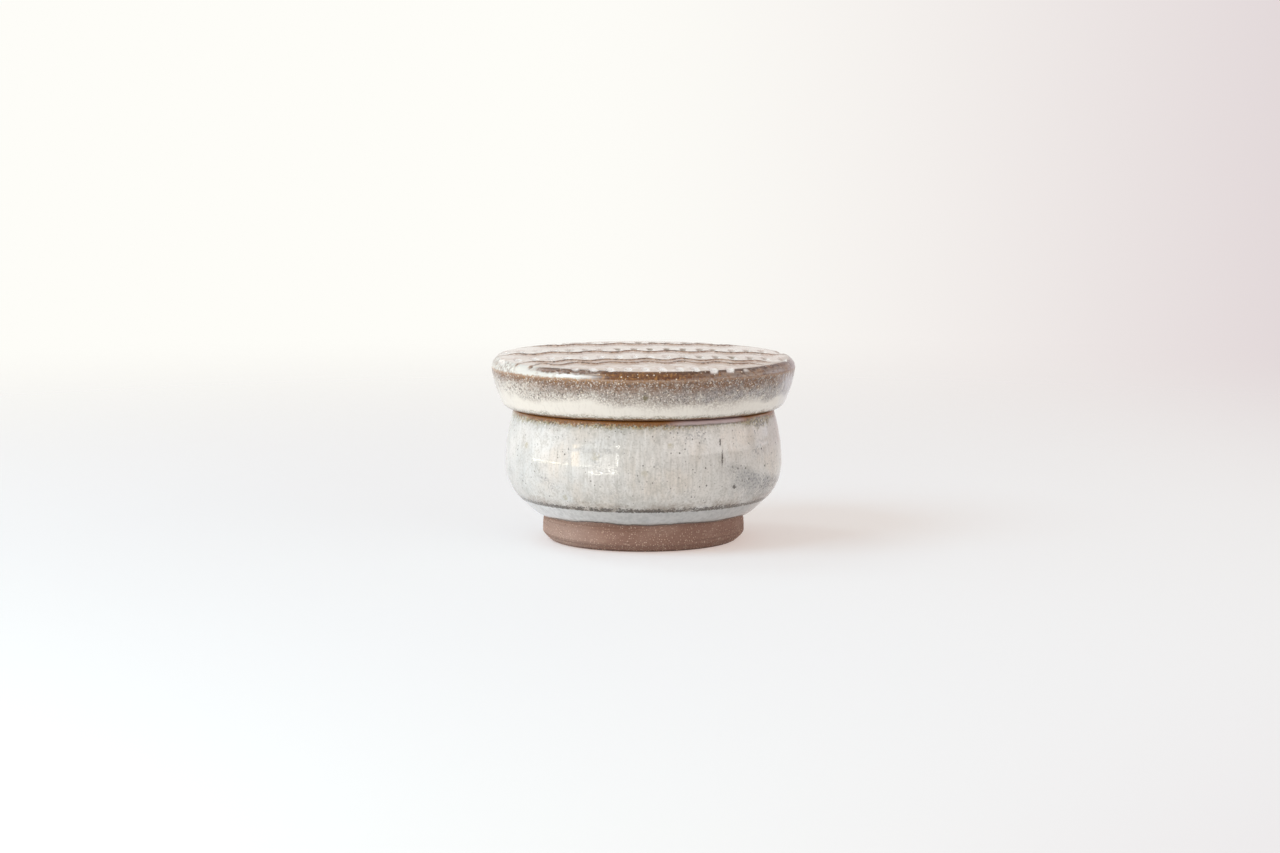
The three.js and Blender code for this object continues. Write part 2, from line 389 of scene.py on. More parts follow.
@dataclass(frozen=True)
class Wave:
    """A wavy line, in millimetres: how far behind the axis it lies, where a crest is and a wave's length."""

    place: float
    crest: float
    length: float


class PressedTop(NodeShape):
    """Presses rows of strokes into a lid's soft top and lays wavy raised lines between them."""

    STROKE_TURN = 0.12  # how far a stroke may be turned either way, in radians
    BED_SHARE = 0.3  # the flat part of a stroke's half width
    NEAR_DEPTH = 0.3  # how deep a stroke is at its near end, as a share of its depth at the far end
    THREAD_POINTS = 240
    THREAD_REACH = 1.05  # how far a wavy line reaches from the axis, in radii of the lid
    DRIFT_SCALE = 45.0  # how often the waves grow or shrink, per metre
    DRIFT_STEP = 3.0  # how far apart the lines take their drift from the noise
    DRIFT_SPREAD = (0.3, 0.7)  # the noise at the flattest and at the highest waves
    DRIFT_SWING = (0.35, 1.5)  # how far such waves swing, as a share of the wave's swing
    EDGE_FADE = 4.0  # how far from the lid's edge a line has its full height, in widths of the line

    def __init__(self, sizes: dict[str, float | int], rows: tuple[StrokeRow, ...],
                 waves: tuple[Wave, ...]) -> None:
        """Builds the tree.

        Args:
            sizes: the sizes of the strokes, of the waves and of the lid's edge, in metres.
            rows: the rows of strokes, from the front.
            waves: the wavy lines, from the front.
        """
        named = {f"{type(line).__name__} {number + 1} {label}": size * MM for lines in (rows, waves)
                 for number, line in enumerate(lines) for label, size in vars(line).items()}
        super().__init__("pressed_top", {**sizes, **named})
        add, given = self.add, self.given
        position = add("GeometryNodeInputPosition")
        here = add("ShaderNodeSeparateXYZ", {0: position}).outputs
        outer = add("GeometryNodeInputNamedAttribute", {"Name": "outer"})
        flat = add("ShaderNodeCombineXYZ", {"X": here["X"], "Y": here["Y"]})
        back = add("ShaderNodeMath", {0: given["Turn"], 1: -1.0}, operation="MULTIPLY")
        plan = add("ShaderNodeVectorRotate", {"Vector": flat, "Angle": back}, rotation_type="Z_AXIS")
        to_stroke, to_tip = self.strew(len(rows), plan)
        to_wave = self.thread(len(waves), position, plan)

        cut = add("ShaderNodeMapRange", {"Value": here["Z"], "From Min": given["Cut Height"],
                                         "From Max": given["Edge Height"]}, interpolation_type="SMOOTHSTEP")
        topped = add("ShaderNodeMath", {0: cut, 1: outer}, operation="MULTIPLY")
        climb = add("ShaderNodeMath", {0: here["Z"], 1: given["Ridge Height"]}, operation="SUBTRACT")
        stroke_edge = add("ShaderNodeMath", {0: given["Stroke Width"], 1: 0.5}, operation="MULTIPLY")
        wave_edge = add("ShaderNodeMath", {0: given["Wave Width"], 1: 0.5}, operation="MULTIPLY")
        bed = add("ShaderNodeMath", {0: stroke_edge, 1: self.BED_SHARE}, operation="MULTIPLY")
        hollow = add("ShaderNodeMapRange", {"Value": to_stroke, "From Min": bed, "From Max": stroke_edge,
                                            "To Min": 1.0, "To Max": 0.0}, interpolation_type="SMOOTHSTEP")
        deepening = add("ShaderNodeMapRange", {"Value": to_tip, "From Min": given["Stroke Length"],
                                               "From Max": 0.0, "To Min": self.NEAR_DEPTH, "To Max": 1.0})
        dent = add("ShaderNodeMath", {0: hollow, 1: deepening}, operation="MULTIPLY")
        sunk = add("ShaderNodeMath", {0: dent, 1: given["Stroke Depth"]}, operation="MULTIPLY")
        away = add("ShaderNodeVectorMath", {0: flat}, operation="LENGTH").outputs["Value"]
        inward = add("ShaderNodeMath", {0: given["Lid Radius"], 1: away}, operation="SUBTRACT")
        full = add("ShaderNodeMath", {0: given["Wave Width"], 1: self.EDGE_FADE}, operation="MULTIPLY")
        kept = add("ShaderNodeMapRange", {"Value": inward, "From Min": given["Wave Width"], "From Max": full},
                   interpolation_type="SMOOTHSTEP")
        ridge = add("ShaderNodeMapRange", {"Value": to_wave, "From Min": 0.0, "From Max": wave_edge,
                                           "To Min": kept, "To Max": 0.0}, interpolation_type="SMOOTHSTEP")
        raised = add("ShaderNodeMath", {0: ridge, 1: given["Wave Height"]}, operation="MULTIPLY")
        relief = add("ShaderNodeMath", {0: raised, 1: sunk}, operation="SUBTRACT")
        pressed = add("ShaderNodeMath", {0: relief, 1: topped}, operation="MULTIPLY")

        rise = add("ShaderNodeMapRange", {"Value": here["Z"], "From Min": given["Ridge Height"],
                                          "From Max": given["Edge Height"]})
        right = add("ShaderNodeMath", {0: here["X"], 1: given["Lean Right"]}, operation="MULTIPLY")
        tilt = add("ShaderNodeMath", {0: here["Y"], 1: given["Lean Back"], 2: right},
                   operation="MULTIPLY_ADD")
        risen = add("ShaderNodeMath", {0: rise, 1: tilt}, operation="MULTIPLY")
        leaned = add("ShaderNodeMath", {0: risen, 1: outer}, operation="MULTIPLY")
        lifted = add("ShaderNodeMath", {0: pressed, 1: leaned}, operation="ADD")
        marks = {"climb": climb, "stroke": to_stroke, "tip": to_tip, "wave": to_wave}
        upward = add("ShaderNodeCombineXYZ", {"Z": lifted})
        self.close(self.reshape(given["Geometry"], marks, {"Offset": upward}))

    def strew(self, rows: int, plan: bpy.types.Node) -> tuple[bpy.types.NodeSocket, ...]:
        """Strews the strokes along their rows, each a little out of place.

        Args:
            rows: the number of rows.
            plan: the place on the top, along and across the rows.

        Returns:
            How far it is to the nearest stroke, and to the far end of the nearest one.
        """
        add, given = self.add, self.given
        gaps = add("ShaderNodeMath", {0: given["Strokes Along"], 1: 1.0}, operation="SUBTRACT")
        span = add("ShaderNodeMath", {0: gaps, 1: given["Stroke Pitch"]}, operation="MULTIPLY")
        first = add("ShaderNodeMath", {0: span, 1: -0.5}, operation="MULTIPLY")
        pitch = add("ShaderNodeCombineXYZ", {"X": given["Stroke Pitch"]})
        points = add("GeometryNodeJoinGeometry")
        for number in range(1, rows + 1):
            shift, place = given[f"StrokeRow {number} shift"], given[f"StrokeRow {number} place"]
            shifted = add("ShaderNodeMath", {0: first, 1: shift}, operation="ADD")
            start = add("ShaderNodeCombineXYZ", {"X": shifted, "Y": place})
            row = add("GeometryNodeMeshLine", {"Count": given["Strokes Along"], "Offset": pitch,
                                               "Start Location": start})
            self.tree.links.new(row.outputs[0], points.inputs[0])
        slack = add("ShaderNodeMath", {0: given["Jitter"], 1: -1.0}, operation="MULTIPLY")
        shake = add("FunctionNodeRandomValue", {
            "Min": add("ShaderNodeCombineXYZ", {"X": slack, "Y": slack}),
            "Max": add("ShaderNodeCombineXYZ", {"X": given["Jitter"], "Y": given["Jitter"]}),
            "Seed": given["Seed"]}, data_type="FLOAT_VECTOR")
        shaken = add("GeometryNodeSetPosition", {"Geometry": points, "Offset": shake})
        straight = add("ShaderNodeMath", {0: given["Stroke Length"], 1: given["Stroke Width"]},
                       operation="SUBTRACT")
        near, far = (add("ShaderNodeMath", {0: straight, 1: share}, operation="MULTIPLY")
                     for share in (-0.5, 0.5))
        stroke = add("GeometryNodeMeshLine", {
            "Count": 2, "Offset": add("ShaderNodeCombineXYZ", {"Y": straight}),
            "Start Location": add("ShaderNodeCombineXYZ", {"Y": near})})
        tip = add("GeometryNodeMeshLine", {
            "Count": 1, "Start Location": add("ShaderNodeCombineXYZ", {"Y": far})})
        turn = add("FunctionNodeRandomValue", {
            "Min": (0.0, 0.0, -self.STROKE_TURN), "Max": (0.0, 0.0, self.STROKE_TURN),
            "Seed": given["Seed"]}, data_type="FLOAT_VECTOR")
        distances = []
        for shape, element in ((stroke, "EDGES"), (tip, "POINTS")):
            strewn = add("GeometryNodeInstanceOnPoints", {"Points": shaken, "Instance": shape,
                                                          "Rotation": turn})
            plain = add("GeometryNodeRealizeInstances", {"Geometry": strewn})
            nearest = add("GeometryNodeProximity", {0: plain, "Sample Position": plan},
                          target_element=element)
            distances.append(nearest.outputs["Distance"])
        return tuple(distances)

    def thread(self, waves: int, position: bpy.types.Node, plan: bpy.types.Node) -> bpy.types.NodeSocket:
        """Lays the wavy lines across the top, with waves that grow and shrink.

        Args:
            waves: the number of lines.
            position: the place along a line.
            plan: the place on the top, along and across the lines.

        Returns:
            How far it is to the nearest line.
        """
        add, given = self.add, self.given
        across = add("ShaderNodeSeparateXYZ", {0: position}).outputs["X"]
        start = add("ShaderNodeMath", {0: given["Lid Radius"], 1: -self.THREAD_REACH}, operation="MULTIPLY")
        gap = add("ShaderNodeMath", {0: start, 1: -2.0 / (self.THREAD_POINTS - 1)}, operation="MULTIPLY")
        straight = add("GeometryNodeMeshLine", {
            "Count": self.THREAD_POINTS, "Start Location": add("ShaderNodeCombineXYZ", {"X": start}),
            "Offset": add("ShaderNodeCombineXYZ", {"X": gap})})
        lines = add("GeometryNodeJoinGeometry")
        for number in range(1, waves + 1):
            place, crest, length = (given[f"Wave {number} {label}"] for label in ("place", "crest", "length"))
            beyond = add("ShaderNodeMath", {0: across, 1: crest}, operation="SUBTRACT")
            phase = add("ShaderNodeMath", {0: beyond, 1: length}, operation="DIVIDE")
            angle = add("ShaderNodeMath", {0: phase, 1: math.tau}, operation="MULTIPLY")
            swing = add("ShaderNodeMath", {0: angle}, operation="COSINE")
            drift = add("ShaderNodeTexNoise", {
                "Vector": position, "W": self.DRIFT_STEP * (number - 1), "Scale": self.DRIFT_SCALE,
                "Detail": 1.0}, noise_dimensions="4D")
            share = add("ShaderNodeMapRange", {
                "Value": drift, "From Min": self.DRIFT_SPREAD[0], "From Max": self.DRIFT_SPREAD[1],
                "To Min": self.DRIFT_SWING[0], "To Max": self.DRIFT_SWING[1]})
            swung = add("ShaderNodeMath", {0: swing, 1: share}, operation="MULTIPLY")
            sway = add("ShaderNodeMath", {0: swung, 1: given["Wave Swing"], 2: place},
                       operation="MULTIPLY_ADD")
            wavy = add("GeometryNodeSetPosition", {"Geometry": straight,
                                                   "Offset": add("ShaderNodeCombineXYZ", {"Y": sway})})
            self.tree.links.new(wavy.outputs[0], lines.inputs[0])
        nearest = add("GeometryNodeProximity", {0: lines, "Sample Position": plan}, target_element="EDGES")
        return nearest.outputs["Distance"]


class GrogScatter(NodeShape):
    """Strews grog grains over the bare clay of a foot, half sunk in it."""

    BARE = 0.04  # the coat below which the clay counts as bare
    OUTSIDE = 0.5  # the side above which it counts as outside

    def __init__(self, per_square_metre: float, smallest: float, largest: float, inner_radius: float,
                 seed: int) -> None:
        """Builds the tree.

        Args:
            per_square_metre: how many grains lie on a square metre.
            smallest: the radius of the finest grain, in metres.
            largest: the radius of the coarsest grain, in metres.
            inner_radius: grains lie outside this radius, in metres.
            seed: the seed of the scatter.
        """
        super().__init__("grog_scatter", {
            "Density": per_square_metre, "Smallest": smallest, "Largest": largest,
            "Inner Radius": inner_radius, "Seed": seed})
        add, given = self.add, self.given
        coat = add("GeometryNodeInputNamedAttribute", {"Name": "coat"})
        outer = add("GeometryNodeInputNamedAttribute", {"Name": "outer"})
        flat = add("ShaderNodeVectorMath", {0: add("GeometryNodeInputPosition"), 1: (1.0, 1.0, 0.0)},
                   operation="MULTIPLY")
        away = add("ShaderNodeVectorMath", {0: flat}, operation="LENGTH").outputs["Value"]
        bare = add("FunctionNodeCompare", {"A": coat, "B": self.BARE}, operation="LESS_THAN")
        outside = add("FunctionNodeCompare", {"A": outer, "B": self.OUTSIDE}, operation="GREATER_THAN")
        beyond = add("FunctionNodeCompare", {"A": away, "B": given["Inner Radius"]}, operation="GREATER_THAN")
        foot = add("FunctionNodeBooleanMath", {0: bare, 1: outside})
        chosen = add("FunctionNodeBooleanMath", {0: foot, 1: beyond})
        points = add("GeometryNodeDistributePointsOnFaces", {
            "Mesh": given["Geometry"], "Selection": chosen, "Density": given["Density"],
            "Seed": given["Seed"]})
        grain = add("GeometryNodeMeshIcoSphere", {"Radius": 1.0, "Subdivisions": 1})
        size = add("FunctionNodeRandomValue", {
            "Min": add("ShaderNodeCombineXYZ", {axis: given["Smallest"] for axis in "XYZ"}),
            "Max": add("ShaderNodeCombineXYZ", {axis: given["Largest"] for axis in "XYZ"}),
            "Seed": given["Seed"]}, data_type="FLOAT_VECTOR")
        self.close(add("GeometryNodeInstanceOnPoints", {
            "Points": points.outputs["Points"], "Instance": grain, "Rotation": points.outputs["Rotation"],
            "Scale": size}))


@dataclass(frozen=True)
class Finish:
    """One tone of a fired surface: its sRGB colour and its roughness."""

    colour: str
    roughness: float


class Painter:
    """Lays fired tones over each other in one material, each through masks of a real size."""

    SPECK_SPREAD = (0.25, 0.6)  # the radius of the smallest and of the largest speck, in widths of a speck
    SPECK_CORE = 0.55  # the full part of a speck's radius
    RAGGED_SPREAD = (0.2, 0.8)  # the noise at the two ends of a ragged line's straying
    SPOT_EDGE = (0.6, 0.3)  # where a spot begins and where it is full, from its middle, in widths of it
    SPOT_RAGGED = 0.5  # how far a spot's edge strays, in widths of it
    SPOT_TONGUE = 0.4  # how wide the tongues of that edge are, in widths of it
    SPOT_DEPTH = 0.25  # how much the depth counts in a spot's shape, so that the spot reaches the surface

    def __init__(self, name: str, ground: Finish, marks: tuple[str, ...] = ()) -> None:
        """Starts a material with one tone all over.

        Args:
            name: the material's name.
            ground: the tone that the others are laid on.
            marks: the names of the values that the node trees left on the mesh.
        """
        self.material = bpy.data.materials.new(name)
        self.material.use_nodes = True
        self.tree = self.material.node_tree
        self.shader = next(node for node in self.tree.nodes if node.type == "BSDF_PRINCIPLED")
        self.place = self.add("ShaderNodeTexCoord").outputs["Object"]
        self.height = self.add("ShaderNodeSeparateXYZ", {0: self.place}).outputs["Z"]
        self.marks = {mark: self.add("ShaderNodeAttribute", attribute_name=mark).outputs["Fac"]
                      for mark in marks}
        self.colour: Any = linear(ground.colour)
        self.roughness: Any = ground.roughness
        self.relief: Any = 0.0
        self.limits: tuple[Any, ...] = ()

    def add(self, kind: str, inputs: dict[str | int, Any] | None = None, **settings: Any) -> bpy.types.Node:
        """Adds a node to this material."""
        return add_node(self.tree, kind, inputs, **settings)

    def clouds(self, size: float, low: float, high: float, length: float | None = None, seed: float = 0.0,
               detail: float = 3.0) -> bpy.types.Node:
        """Makes patches, or upright runs, with soft edges.

        Args:
            size: how wide a patch is, in millimetres.
            low: the noise value at which a patch begins.
            high: the noise value at which it is full.
            length: how tall a run is, in millimetres, or none for round patches.
            seed: the place in the noise.
            detail: how finely the patches break up.

        Returns:
            A mask from 0 to 1.
        """
        across, upward = 1 / (size * MM), 1 / ((length or size) * MM)
        stretched = self.add("ShaderNodeVectorMath", {0: self.place, 1: (across, across, upward)},
                             operation="MULTIPLY")
        noise = self.add("ShaderNodeTexNoise", {"Vector": stretched, "W": seed, "Scale": 1.0,
                                                "Detail": detail}, noise_dimensions="4D")
        return self.add("ShaderNodeMapRange", {"Value": noise, "From Min": low, "From Max": high},
                        interpolation_type="SMOOTHSTEP")

    def specks(self, spacing: float, size: float, share: float, seed: float = 0.0) -> bpy.types.Node:
        """Makes scattered round specks.

        Args:
            spacing: the mean distance between specks, in millimetres.
            size: the width of a speck, in millimetres.
            share: how many of the places hold a speck, from 0 to 1.
            seed: the place in the pattern.

        Returns:
            A mask from 0 to 1.
        """
        moved = self.add("ShaderNodeVectorMath", {0: self.place, 1: (seed, seed, seed)}, operation="ADD")
        cells = self.add("ShaderNodeTexVoronoi", {"Vector": moved, "Scale": 1 / (spacing * MM),
                                                  "Randomness": 1.0})
        parts = self.add("ShaderNodeSeparateColor", {"Color": cells.outputs["Color"]}).outputs
        least, most = (part * size / spacing for part in self.SPECK_SPREAD)
        limit = self.add("ShaderNodeMapRange", {"Value": parts[1], "To Min": least, "To Max": most})
        core = self.add("ShaderNodeMath", {0: limit, 1: self.SPECK_CORE}, operation="MULTIPLY")
        disc = self.add("ShaderNodeMapRange", {"Value": cells.outputs["Distance"], "From Min": limit,
                                               "From Max": core}, interpolation_type="SMOOTHSTEP")
        kept = self.add("ShaderNodeMath", {0: parts[0], 1: share}, operation="LESS_THAN")
        return self.add("ShaderNodeMath", {0: disc, 1: kept}, operation="MULTIPLY")

    def level(self, start: float, end: float, ragged: float = 0.0, size: float = 3.0,
              length: float | None = None, seed: float = 0.0, of: Any = None) -> bpy.types.Node:
        """Fades from nothing at one height to full at another, along a ragged line.

        Args:
            start: the height where the mask is 0, in millimetres.
            end: the height where it is 1, above or below the start.
            ragged: how far the line strays up and down, in millimetres.
            size: how wide its tongues are, in millimetres.
            length: how tall the noise behind them is, in millimetres, or none for as tall as wide.
            seed: the place in the noise.
            of: another distance to go by than the height above the floor, in metres.

        Returns:
            A mask from 0 to 1.
        """
        value = self.height if of is None else of
        if ragged:
            stray = self.clouds(size, *self.RAGGED_SPREAD, length, seed)
            value = self.add("ShaderNodeMath", {0: stray, 1: ragged * MM, 2: value}, operation="MULTIPLY_ADD")
        return self.add("ShaderNodeMapRange", {"Value": value, "From Min": (start + ragged / 2) * MM,
                                               "From Max": (end + ragged / 2) * MM},
                        interpolation_type="SMOOTHSTEP")

    def spot(self, centre: Place, size: float, length: float | None = None) -> bpy.types.Node:
        """Makes one blot with a ragged edge.

        Args:
            centre: where it lies, in millimetres.
            size: how wide it is, in millimetres.
            length: how tall it is, in millimetres, or none for as tall as wide.

        Returns:
            A mask from 0 to 1.
        """
        off = self.add("ShaderNodeVectorMath", {0: self.place, 1: tuple(part * MM for part in centre)},
                       operation="SUBTRACT")
        squat = self.add("ShaderNodeVectorMath", {0: off, 1: (1.0, self.SPOT_DEPTH, size / (length or size))},
                         operation="MULTIPLY")
        away = self.add("ShaderNodeVectorMath", {0: squat}, operation="LENGTH").outputs["Value"]
        start, end = (size * share for share in self.SPOT_EDGE)
        return self.level(start, end, size * self.SPOT_RAGGED, size * self.SPOT_TONGUE, of=away)

    def toward(self, azimuth: float, start: float, end: float, tilt: float = 0.0) -> bpy.types.Node:
        """Grows towards one side of the pot.

        Args:
            azimuth: the side, in degrees from the right hand, turning towards the back.
            start: how far from the axis the mask begins, in millimetres.
            end: how far from the axis it is full.
            tilt: how much a step up counts beside a step to that side, which makes the mask's edge slope.

        Returns:
            A mask from 0 to 1.
        """
        way = (math.cos(math.radians(azimuth)), math.sin(math.radians(azimuth)), tilt)
        out = self.add("ShaderNodeVectorMath", {0: self.place, 1: way}, operation="DOT_PRODUCT")
        return self.add("ShaderNodeMapRange", {"Value": out.outputs["Value"], "From Min": start * MM,
                                               "From Max": end * MM}, interpolation_type="SMOOTHSTEP")

    @contextmanager
    def within(self, *masks: Any) -> Iterator[None]:
        """Keeps all that is laid in a with block within masks.

        Args:
            *masks: the masks.

        Returns:
            The with block's own manager.
        """
        self.limits = masks
        yield
        self.limits = ()

    def through(self, amount: float, masks: tuple[Any, ...]) -> Any:
        """Lets an amount show only through masks, and within the limits of the with block.

        Args:
            amount: the amount where all of them are full.
            masks: the masks.

        Returns:
            The amount, or the node that gives it.
        """
        shown: Any = amount
        for mask in (*masks, *self.limits):
            shown = self.add("ShaderNodeMath", {0: mask, 1: shown}, operation="MULTIPLY")
        return shown

    def lay(self, finish: Finish, *masks: Any, strength: float = 1.0) -> None:
        """Lays a tone over what is there.

        Args:
            finish: the tone.
            *masks: the masks that it shows through, all at once.
            strength: how strongly it covers.
        """
        shown = self.through(strength, masks)
        self.colour = self.add("ShaderNodeMix", {"Factor": shown, "A": self.colour,
                                                 "B": linear(finish.colour)}, data_type="RGBA")
        self.roughness = self.add("ShaderNodeMix", {"Factor": shown, "A": self.roughness,
                                                    "B": finish.roughness}, data_type="FLOAT")

    def emboss(self, height: float, *masks: Any) -> None:
        """Raises the surface's relief where all the masks show, by a height in millimetres."""
        raised = self.through(height * MM, masks)
        self.relief = self.add("ShaderNodeMath", {0: self.relief, 1: raised}, operation="ADD")

    def fired(self, ior: float) -> bpy.types.Material:
        """Joins the layers to the shader.

        Args:
            ior: the glass's or clay's index of refraction.

        Returns:
            The finished material.
        """
        bump = self.add("ShaderNodeBump", {"Strength": 1.0, "Distance": 1.0, "Height": self.relief})
        for label, node in (("Base Color", self.colour), ("Roughness", self.roughness), ("Normal", bump)):
            socket = next(each for each in node.outputs if each.enabled)
            self.tree.links.new(socket, self.shader.inputs[label])
        self.shader.inputs["IOR"].default_value = ior
        return self.material


@dataclass(frozen=True)
class StonewareClay:
    """Iron-bearing stoneware fired bare: dry pinkish brown, with pale grog and fine trimming lines."""

    body: Finish = Finish("#8C6C5E", 0.82)
    pale: Finish = Finish("#A68A7B", 0.85)
    # painted sheen: a paler clay tone for the left of the foot, where the window light grazes it
    painted_left_sheen: Finish = Finish("#AE978B", 0.85)
    dark: Finish = Finish("#71574A", 0.8)
    grog: Finish = Finish("#DCC5B2", 0.7)
    iron: Finish = Finish("#43322A", 0.7)

    def paint(self, p: Painter) -> None:
        """Lays the bare clay over what is there.

        Args:
            p: the material that gets it.
        """
        p.lay(self.body)
        p.lay(self.pale, p.clouds(size=7.0, low=0.45, high=0.7, seed=2.0), strength=0.5)
        # painted sheen: the foot paler on its left, towards the window light
        p.lay(self.painted_left_sheen, p.toward(200.0, start=22.0, end=31.0), strength=0.7)
        p.lay(self.dark, p.clouds(size=0.5, low=0.5, high=0.75, seed=5.0), strength=0.45)
        trimming = p.clouds(size=60.0, low=0.5, high=0.62, length=0.7, seed=6.0)
        p.lay(self.dark, trimming, strength=0.4)
        p.lay(self.grog, p.specks(spacing=0.6, size=0.42, share=0.5, seed=1.0), strength=0.65)
        p.lay(self.iron, p.specks(spacing=1.6, size=0.5, share=0.25, seed=3.0), strength=0.7)
        # painted contact shadow: darker along the foot's lowest edge, where it stands on the floor
        p.lay(self.iron, p.level(0.9, 0.3, ragged=0.3, size=2.0), strength=0.85)
        p.emboss(0.03, p.clouds(size=0.5, low=0.35, high=0.65, seed=7.0))
        p.emboss(-0.04, trimming)


@dataclass(frozen=True)
class Glaze:
    """What both glazes share: a glassy coat, slightly rippled and pitted, that ends at the bare clay.

    Sizes and heights are in millimetres.
    """

    ior: float = 1.52
    ripple_size: float = 3.0
    ripple_height: float = 0.014
    pit_size: float = 0.6
    pit_height: float = 0.005
    bare_from: float = 0.6  # the coat at which the clay begins to show
    bare_to: float = 0.3  # the coat at which nothing else shows

    def fire(self, p: Painter, clay: StonewareClay) -> bpy.types.Material:
        """Closes a glazed material.

        Args:
            p: the material with the glaze's tones.
            clay: the clay that shows where there is no glaze.

        Returns:
            The finished material.
        """
        p.emboss(self.ripple_height, p.clouds(size=self.ripple_size, low=0.3, high=0.7, seed=3.0, detail=1.0))
        p.emboss(self.pit_height, p.clouds(size=self.pit_size, low=0.3, high=0.7, seed=4.0, detail=1.0))
        bare = p.add("ShaderNodeMapRange", {"Value": p.marks["coat"], "From Min": self.bare_from,
                                            "From Max": self.bare_to})
        with p.within(bare):
            clay.paint(p)
        return p.fired(self.ior)


@dataclass(frozen=True)
class Blot:
    """A single mark in a glaze, with its place, width and height in millimetres."""

    tone: Finish
    place: Place
    width: float
    height: float
    strength: float


@dataclass(frozen=True)
class MilkAshGlaze(Glaze):
    """Milky ash glaze over stoneware: glossy white where it is thick, brown where it thins over an edge."""

    milk: Finish = Finish("#DEDEDB", 0.06)
    cool: Finish = Finish("#CBD0D0", 0.06)
    # painted warm light: a warmer tone for the jar's right side, where the room's light is warmer
    painted_warm_light: Finish = Finish("#D8D0C5", 0.07)
    ash: Finish = Finish("#A3A199", 0.08)
    olive: Finish = Finish("#9A8F62", 0.2)
    slate: Finish = Finish("#7C7D80", 0.2)
    umber: Finish = Finish("#857563", 0.2)
    # painted floor bounce: a paler, cooler tone for the band under the turned edge, which faces the floor
    under: Finish = Finish("#DFE3E5", 0.08)
    # painted reflection: the pale mauve strip on the rim's right, under the lid
    mauve: Finish = Finish("#AC989A", 0.12)
    iron: Finish = Finish("#3B3630", 0.3)
    thin: Finish = Finish("#8A5A2A", 0.25)
    gold: Finish = Finish("#C7A377", 0.2)
    edge: Finish = Finish("#3D332A", 0.3)
    smudge_slope: float = 2.17  # how far right the smudge's edge goes for a step down
    blots: tuple[Blot, ...] = (
        Blot(edge, (28.8, -34.0, 21.9), width=1.6, height=1.6, strength=0.8),
        Blot(edge, (25.0, -38.6, 31.8), width=0.65, height=5.4, strength=0.85),
        Blot(edge, (24.3, -37.6, 36.4), width=0.65, height=2.6, strength=0.85),
        Blot(olive, (0.4, -45.6, 27.6), width=2.2, height=2.2, strength=0.25))

    def dress(self, name: str, clay: StonewareClay, jar: "JarBody") -> bpy.types.Material:
        """Makes the jar's material.

        Args:
            name: the material's name.
            clay: the bare clay under the glaze.
            jar: the jar, for the heights at which the glaze changes.

        Returns:
            The finished material.
        """
        p = Painter(name, self.milk, ("coat", "outer", "over_line"))
        self.paint_wall(p)
        with p.within(p.marks["outer"]):
            self.paint_turned_edge(p, jar)
        self.paint_rim(p, jar)
        with p.within(p.marks["outer"]):
            self.paint_glaze_line(p)
        return self.fire(p, clay)

    def paint_wall(self, p: Painter) -> None:
        """Paints the wall: milky white, cooler or warmer in patches, with runs, smudges and iron specks.

        Args:
            p: the jar's material.
        """
        p.lay(self.cool, p.clouds(size=22.0, low=0.4, high=0.6, seed=1.0), strength=0.7)
        # painted warm light: the right side, and patches on it, turned warmer
        p.lay(self.painted_warm_light, p.toward(-62.0, start=18.0, end=46.0), strength=0.4)
        p.lay(self.painted_warm_light, p.clouds(size=16.0, low=0.45, high=0.62, seed=4.0),
              p.toward(-62.0, start=-16.0, end=24.0), strength=0.7)
        p.lay(self.ash, p.clouds(size=0.9, low=0.46, high=0.72, length=10.0, seed=2.0), strength=0.32)
        p.lay(self.milk, p.clouds(size=1.3, low=0.48, high=0.68, length=16.0, seed=9.0), strength=0.5)
        p.lay(self.ash, p.clouds(size=0.65, low=0.48, high=0.68, seed=6.0, detail=2.0), strength=0.42)
        p.lay(self.ash, p.clouds(size=5.0, low=0.5, high=0.7, seed=16.0),
              p.clouds(size=0.7, low=0.35, high=0.6, seed=2.2), strength=0.5)
        p.lay(self.olive, p.specks(spacing=11.0, size=3.0, share=0.7, seed=2.0),
              p.clouds(size=0.7, low=0.3, high=0.6, seed=1.5), strength=0.5)
        smudge = p.clouds(size=0.65, low=0.44, high=0.62, seed=3.0, detail=2.0)
        p.lay(self.slate, p.clouds(size=13.0, low=0.54, high=0.68, seed=12.0), smudge, strength=0.65)
        p.lay(self.ash, p.toward(-97.0, start=36.0, end=47.0),
              p.clouds(size=0.8, low=0.3, high=0.66, length=7.0, seed=13.0), strength=0.4)
        corner = p.toward(-14.0, start=31.0, end=42.0)
        cloudy = p.clouds(size=5.0, low=0.3, high=0.56, seed=31.0)
        slope = self.smudge_slope
        wash = (p.toward(0.0, start=95.0, end=89.0, tilt=slope),
                p.toward(0.0, start=60.0, end=86.0, tilt=slope))
        p.lay(self.slate, corner, *wash, cloudy, strength=0.4)
        p.lay(self.slate, corner, *wash, smudge, strength=0.65)
        p.lay(self.iron, corner, p.toward(0.0, start=96.0, end=92.0, tilt=slope),
              p.toward(0.0, start=76.0, end=88.0, tilt=slope),
              p.specks(spacing=1.3, size=0.9, share=0.5, seed=1.0), strength=0.9)
        # painted shade: greyer on the right flank of the upper belly
        p.lay(self.ash, p.toward(-10.0, start=36.0, end=43.0), p.level(29.0, 37.0), strength=0.3)
        p.lay(self.iron, p.specks(spacing=1.5, size=0.6, share=0.3, seed=5.0), strength=0.65)
        p.lay(self.iron, p.specks(spacing=3.4, size=0.85, share=0.4, seed=6.0), strength=0.9)
        p.lay(self.iron, p.specks(spacing=2.3, size=0.8, share=0.45, seed=11.0),
              p.toward(-40.0, start=18.0, end=44.0), strength=0.85)
        p.lay(self.iron, p.clouds(size=0.6, low=0.7, high=0.75, length=3.6, seed=8.0), strength=0.8)
        for blot in self.blots:
            p.lay(blot.tone, p.spot(blot.place, size=blot.width, length=blot.height),
                  strength=blot.strength)

